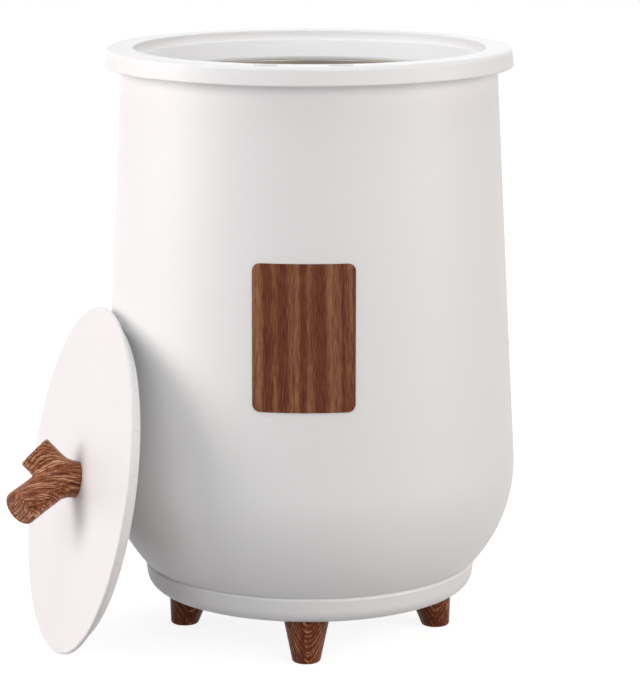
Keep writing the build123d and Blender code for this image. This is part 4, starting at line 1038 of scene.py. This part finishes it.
@dataclass(frozen=True)
class BranchHandle:
    """The handle cut from a forked branch: a stem and two arms that flow into each other."""

    stem_r: float = 15.0  # radius of the stem
    arm_r: float = 14.8  # radius of the arms
    fork: float = 14.2  # height of the fork over the lid
    long_arm: float = 49.8  # length of the long arm
    short_arm: float = 30.4  # length of the short arm
    long_angle: float = 43.6  # angle of the long arm from the stem's axis, in degrees
    short_angle: float = 41.5  # angle of the short arm from the stem's axis, in degrees
    short_turn: float = -17.5  # turn of the short arm out of the fork's plane, in degrees
    turn: float = -44.3  # turn of the fork's plane about the stem, in degrees
    end_round: float = 2.4  # rounding of the cut ends
    foot_round: float = 0.6  # rounding of the stem's foot
    stem_past: float = 4.0  # how far the stem runs on past the fork
    overlap: float = 0.06  # share of an arm's length by which it starts before the fork
    flow: float = 5.0  # reach of the blend between stem and arms
    knobbly: float = 0.22  # how far the branch swells and thins
    even_to: float = 2.0  # height up to which the stem doesn't swell, so that it sits on the lid
    knobbly_from: float = 12.0  # height from which it swells in full
    bend_r: float = 90.0  # radius of the arc on which its fibres bend towards the long arm
    follow: float = 0.36  # how far its fibres follow the long arm's lean, from 0 to 1
    voxel: float = 0.75  # size of the first mesh's cells

    def bars(self) -> list[tuple[Points, Points, float, float]]:
        """Work out the bars that the branch flows round.

        Returns:
            Start, end, radius and end rounding of the stem, the long arm and the short arm.
        """
        fork = np.array([0.0, 0.0, self.fork])
        made = [(np.zeros(3), fork + [0.0, 0.0, self.stem_past], self.stem_r, self.foot_round)]
        for length, angle, turn in (
            (self.long_arm, self.long_angle, 0.0), (self.short_arm, self.short_angle, 180 + self.short_turn)
        ):
            lean, side = math.radians(angle), math.radians(turn)
            outward = math.sin(lean) * np.array([math.cos(side), math.sin(side), 0.0])
            arm = length * (outward + [0.0, 0.0, math.cos(lean)])
            made.append((fork - arm * self.overlap, fork + arm, self.arm_r, self.end_round))
        return made

    @staticmethod
    def bar_distance(points: Points, bar: tuple[Points, Points, float, float]) -> Points:
        """Signed distance to a round bar with rounded ends.

        With a the distance from the axis less the radius, and l the distance past the nearer end, both grown by
        the rounding, it is |max((a, l), 0)| + min(max(a, l), 0), less the rounding.

        Args:
            points: where to measure.
            bar: start, end, radius and rounding.

        Returns:
            The distance at each point.
        """
        start, end, radius, rounding = bar
        length = float(np.linalg.norm(end - start))
        axis = (end - start) / length
        along = (points - start) @ axis
        past_side = np.linalg.norm(points - start - along[:, None] * axis, axis=1) - radius + rounding
        past_end = np.abs(along - length / 2) - length / 2 + rounding
        outside = np.hypot(np.maximum(past_side, 0), np.maximum(past_end, 0))
        return outside + np.minimum(np.maximum(past_side, past_end), 0) - rounding

    def distance(self, points: Points) -> Points:
        """Signed distance to the whole branch: the bars joined by a smooth minimum, less its swelling.

        The smooth minimum of a and b is b + (a - b) h - k h (1 - h), with h = clip(1/2 + (b - a) / 2k, 0, 1).
        The swelling is a product and a sum of sines 38 to 69 mm long, and fades out towards the foot.

        Args:
            points: where to measure.

        Returns:
            The distance at each point.
        """
        joined, *others = (self.bar_distance(points, bar) for bar in self.bars())
        for other in others:
            share = np.clip(0.5 + (other - joined) / (2 * self.flow), 0, 1)
            joined = other + (joined - other) * share - self.flow * share * (1 - share)
        x, y, z = points.T
        swell = np.sin(x / 7.3 + 1.0) * np.sin(y / 6.1 + 0.4) + np.sin(z / 8.7 + x / 11.0 + 2.2)
        return joined + self.knobbly * smooth_step(z, self.even_to, self.knobbly_from) * (1 + swell / 2)

    def first_mesh(self) -> tuple[Points, Points]:
        """Join three plain bars and remesh them as one even closed mesh.

        Returns:
            Its corners, and its quads.
        """
        solid = bmesh.new()
        for start, end, radius, _ in self.bars():
            axis = Vector(end - start)
            place = axis.to_track_quat("Z", "Y").to_matrix().to_4x4()
            place.translation = Vector((start + end) / 2)
            size = {"radius1": radius, "radius2": radius, "depth": axis.length}
            bmesh.ops.create_cone(solid, cap_ends=True, segments=48, matrix=place, **size)
        mesh = bpy.data.meshes.new("branch_first")
        solid.to_mesh(mesh)
        solid.free()
        block = link_object("branch_first", mesh)
        remesh = block.modifiers.new("even", "REMESH")
        remesh.mode, remesh.voxel_size = "VOXEL", self.voxel
        even = block.evaluated_get(bpy.context.evaluated_depsgraph_get()).to_mesh()
        corners, loops = np.empty(len(even.vertices) * 3, np.float32), np.empty(len(even.loops), np.int32)
        even.vertices.foreach_get("co", corners)
        even.loops.foreach_get("vertex_index", loops)
        bpy.data.objects.remove(block)
        bpy.data.meshes.remove(mesh)
        return corners.reshape(-1, 3).astype(float), loops.reshape(-1, 4)

    def surface(self, rounds: int = 8, small: float = 0.05, least: float = 0.25) -> Surface:
        """Pull the even mesh onto the branch's zero distance by Newton steps: p - d g / |g| squared.

        Args:
            rounds: how many steps.
            small: half the distance over which the gradient g is measured.
            least: smallest |g| squared that counts, which keeps a step short in the fork's crease.

        Returns:
            The branch in its own frame, with its grain.
        """
        points, quads = self.first_mesh()
        for _ in range(rounds):
            here = self.distance(points)
            rises = [self.distance(points + way) - self.distance(points - way) for way in np.eye(3) * small]
            slope = np.stack(rises, axis=-1) / (2 * small)
            points = points - slope * (here / np.maximum(np.sum(slope**2, axis=1), least))[:, None]
        return Surface(points, quads, grain=self.grain_at(points))

    def grain_at(self, points: Points) -> Points:
        """Plank coordinates of fibres that run up the stem and bend round an arc towards the long arm.

        The arc's centre lies bend_r beside the stem's axis, level with the arc's start. At an angle t round it,
        the distance across is bend_r less the distance from the centre, and the distance along is bend_r t. The
        angle stops at 0 and at a share of the long arm's lean, and the coordinates run on straight from there.

        Args:
            points: corners in the branch's own frame.

        Returns:
            Millimetres across, across and along the fibres.
        """
        lean = math.radians(self.long_angle * self.follow)
        start = self.fork - self.bend_r * math.tan(lean / 2)
        beside, above = self.bend_r - points[:, 0], points[:, 2] - start
        turn = np.clip(np.arctan2(above, beside), 0.0, lean)
        from_centre = beside * np.cos(turn) + above * np.sin(turn)
        onward = above * np.cos(turn) - beside * np.sin(turn)
        return np.stack([self.bend_r - from_centre, points[:, 1], self.bend_r * turn + onward], axis=-1)

    def build(self, pose: Frame) -> None:
        """Make the branch."""
        made = self.surface().moved(about_z(math.radians(self.turn))).moved(*pose)
        made.to_piece("branch_walnut", Finish.BRANCH, "lid", "branch_wood", "branch_handle")


# ---------------- pieces that keep their CAD mesh


@dataclass(frozen=True)
class CarriedNodes:
    """CAD nodes that stay as they are and get a finish."""

    finishes: tuple[tuple[Finish, str], ...] = (
        (Finish.BARREL, "top_rim base_tray"),
        (Finish.PIPE, "light_pipes indicator_leds"),
        (Finish.HEATER, "heater_film"),
        (Finish.FELT, "insulation_sleeve insulation_disc lid_insulation"),
        (Finish.BOARD, "power_board control_board"),
        (Finish.BLACK, "power_relay power_capacitors terminal_block temperature_sensor gland_nut"),
        (Finish.RUBBER, "cord_gland"),
        (Finish.JACKET, "control_harness heater_leads sensor_leads"),
        (Finish.BRASS, "handle_insert"),
        (Finish.STEEL, "heat_shield shield_screws thermostat thermal_fuse sensor_clips board_screws"),
        (Finish.STEEL, "control_board_screws rim_screws case_screws foot_screws foot_washers lid_screws"),
        (Finish.STEEL, "handle_washer handle_screw"),
    )

    def dress(self) -> None:
        """Give every carried node its finish, in each of its own slots."""
        for finish, names in self.finishes:
            for name in names.split():
                for slot in frame["nodes"][name].material_slots:
                    slot.material = finish.material()
                LOG.info("%s: CAD mesh in %s", name, finish.value.name)


# ---------------- studio


def stand_facing(name: str, data: bpy.types.ID, place: Vector, facing: Vector) -> bpy.types.Object:
    """Add a lamp or a camera that looks along a direction.

    Args:
        name: its name.
        data: its light or camera.
        place: where it stands, in metres.
        facing: the direction.

    Returns:
        The new object.
    """
    thing = link_object(name, data)
    thing.location = place
    thing.rotation_mode = "QUATERNION"
    thing.rotation_quaternion = facing.to_track_quat("-Z", "Y")
    return thing


@dataclass(frozen=True)
class SoftBox:
    """A square soft light."""

    name: str
    place: tuple[float, float, float]  # where it hangs, in metres
    size: tuple[float, float]  # in metres
    power: float  # in watts
    colour: str  # sRGB hex

    def hang(self, aim: Vector) -> None:
        """Add the light to the scene.

        Args:
            aim: the point that it faces, in metres.
        """
        light = bpy.data.lights.new(self.name, "AREA")
        light.shape, light.energy, light.color = "RECTANGLE", self.power, hex_linear(self.colour)[:3]
        light.size, light.size_y = self.size
        stand_facing(self.name, light, Vector(self.place), aim - Vector(self.place))


@dataclass(frozen=True)
class Studio:
    """Camera, lights, floor and backdrop."""

    camera_mm: tuple[float, float, float] = (66.28, -2372.77, 714.2)  # the camera's place
    heading: float = 91.245  # where it looks, in degrees anticlockwise from +X
    pitch: float = 11.19  # how far it looks down, in degrees
    lens_mm: float = 157.08  # focal length
    sensor_mm: float = 36.0  # long side of its sensor
    shift: float = -0.01113  # sideways shift, as a share of the long side
    far: float = 50.0  # how far it sees, in metres
    floor_half: float = 6.0  # half the floor's width, in metres
    floor_colour: str = "ABAAAA"  # sRGB hex colour that the floor shows to the object
    glow_reach: tuple[float, float] = (0.4, 1.1)  # where the floor's glow is near and far, in metres
    glow: tuple[float, float] = (0.86, 1.0)  # what the floor adds for the camera there, so that it shows white
    aim: tuple[float, float, float] = (0.0, 0.0, 0.28)  # the point that every lamp faces, in metres
    room_level: float = 0.026  # strength of the room's light on the object
    room_colour: str = "FFFDFC"  # sRGB hex colour of that light
    lights: tuple[SoftBox, ...] = (
        SoftBox("key_left", (-2.3, -0.9, 1.1), (1.4, 2.0), 18.3, "FFFEF6"),
        SoftBox("side_left", (-2.6, -0.1, 0.9), (1.6, 2.0), 39.0, "FFF5F6"),
        SoftBox("front_left", (-1.4, -2.6, 1.5), (1.4, 1.6), 13.4, "FFFEFF"),
        SoftBox("side_right", (2.3, -0.7, 1.0), (1.2, 1.8), 26.3, "FFF5ED"),
        SoftBox("front_right", (1.5, -2.6, 1.2), (1.4, 1.6), 21.0, "FFFFFE"),
        SoftBox("front_high", (0.0, -2.9, 1.6), (1.6, 1.6), 4.0, "FFFFFF"),
        SoftBox("top", (0.0, -0.2, 2.4), (1.6, 1.6), 19.0, "F2F9FF"),
        SoftBox("rear", (0.4, 2.8, 1.5), (1.8, 1.6), 10.0, "FFFFFF"),
    )

    def build(self) -> None:
        """Add everything to the scene."""
        self.place_camera()
        self.lay_floor()
        self.fill_room()
        for light in self.lights:
            light.hang(Vector(self.aim))
        bpy.context.scene.view_settings.view_transform = "Standard"
        LOG.info("studio ready")

    def place_camera(self) -> None:
        """Put the camera where the photograph was taken from."""
        data = bpy.data.cameras.new("camera")
        data.lens, data.sensor_width = self.lens_mm, self.sensor_mm
        data.shift_x, data.clip_end = self.shift, self.far
        heading, pitch = math.radians(self.heading), math.radians(self.pitch)
        level = math.cos(pitch)
        facing = Vector((math.cos(heading) * level, math.sin(heading) * level, -math.sin(pitch)))
        bpy.context.scene.camera = stand_facing("camera", data, Vector(self.camera_mm) * MM, facing)

    @staticmethod
    def seen_directly(add: Adder) -> Node:
        """Tell the rays that see the room from the rays that light the object.

        Args:
            add: adds a node to the floor's material or to the room.

        Returns:
            A node that gives 1 for camera, glossy and transmission rays, and 0 for the others.
        """
        path = add("LightPath").outputs
        mirror = add("Math", (path["Is Camera Ray"], path["Is Glossy Ray"]), operation="MAXIMUM")
        return add("Math", (mirror, path["Is Transmission Ray"]), operation="MAXIMUM")

    def lay_floor(self) -> None:
        """Lay a pale floor that takes shadows and shows white to the camera where it is lit."""
        half = self.floor_half
        mesh = bpy.data.meshes.new("floor")
        corners = [(-half, -half, 0), (half, -half, 0), (half, half, 0), (-half, half, 0)]
        mesh.from_pydata(corners, [], [(0, 1, 2, 3)])
        floor = link_object("floor", mesh)
        material = bpy.data.materials.new("studio_floor_paint")
        add = empty_tree(material)
        paint = add("BsdfDiffuse", {"Color": hex_linear(self.floor_colour)})
        away = add("VectorMath", (add("TexCoord").outputs["Object"],), operation="LENGTH")
        level = add("MapRange", (away, *self.glow_reach, *self.glow))
        glow = add("Math", (self.seen_directly(add), level), operation="MULTIPLY")
        light = add("Emission", {"Color": WHITE, "Strength": glow})
        add("OutputMaterial", {"Surface": add("AddShader", (paint, light))})
        mesh.materials.append(material)

    def fill_room(self) -> None:
        """Fill the room with soft light, and show white behind the object."""
        world = bpy.data.worlds.new("room")
        add = empty_tree(world)
        soft = add("Background", {"Color": hex_linear(self.room_colour), "Strength": self.room_level})
        white = add("Background", {"Color": WHITE, "Strength": 1.0})
        mix = add("MixShader", (self.seen_directly(add), soft, white))
        add("OutputWorld", {"Surface": mix})
        bpy.context.scene.world = world


def main() -> None:
    """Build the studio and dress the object."""
    logging.basicConfig(level=logging.INFO, format="%(name)s: %(message)s")
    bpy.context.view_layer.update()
    Studio().build()
    barrel = Barrel()
    barrel.build()
    Mouth().build()
    for node, bearing, plank in (
        ("foot_front", 0.0, (0.0, 0.0, 0.0)),
        ("foot_right", 90.0, (3.0, 1.5, 61.0)),
        ("foot_rear", 180.0, (-2.0, 2.5, 122.0)),
        ("foot_left", 270.0, (-3.5, 0.5, 187.0)),
    ):
        Foot(node, bearing, plank).build()
    Plaque().build(barrel)
    for name in ("power", "timer"):
        PushButton(name + "_button").build()
        RubberDome(name + "_dome", name + "_button_press").build()
    pose = lid_pose()
    Lid().build(pose)
    BranchHandle().build(pose)
    CarriedNodes().dress()


if __name__ == "__main__":
    main()
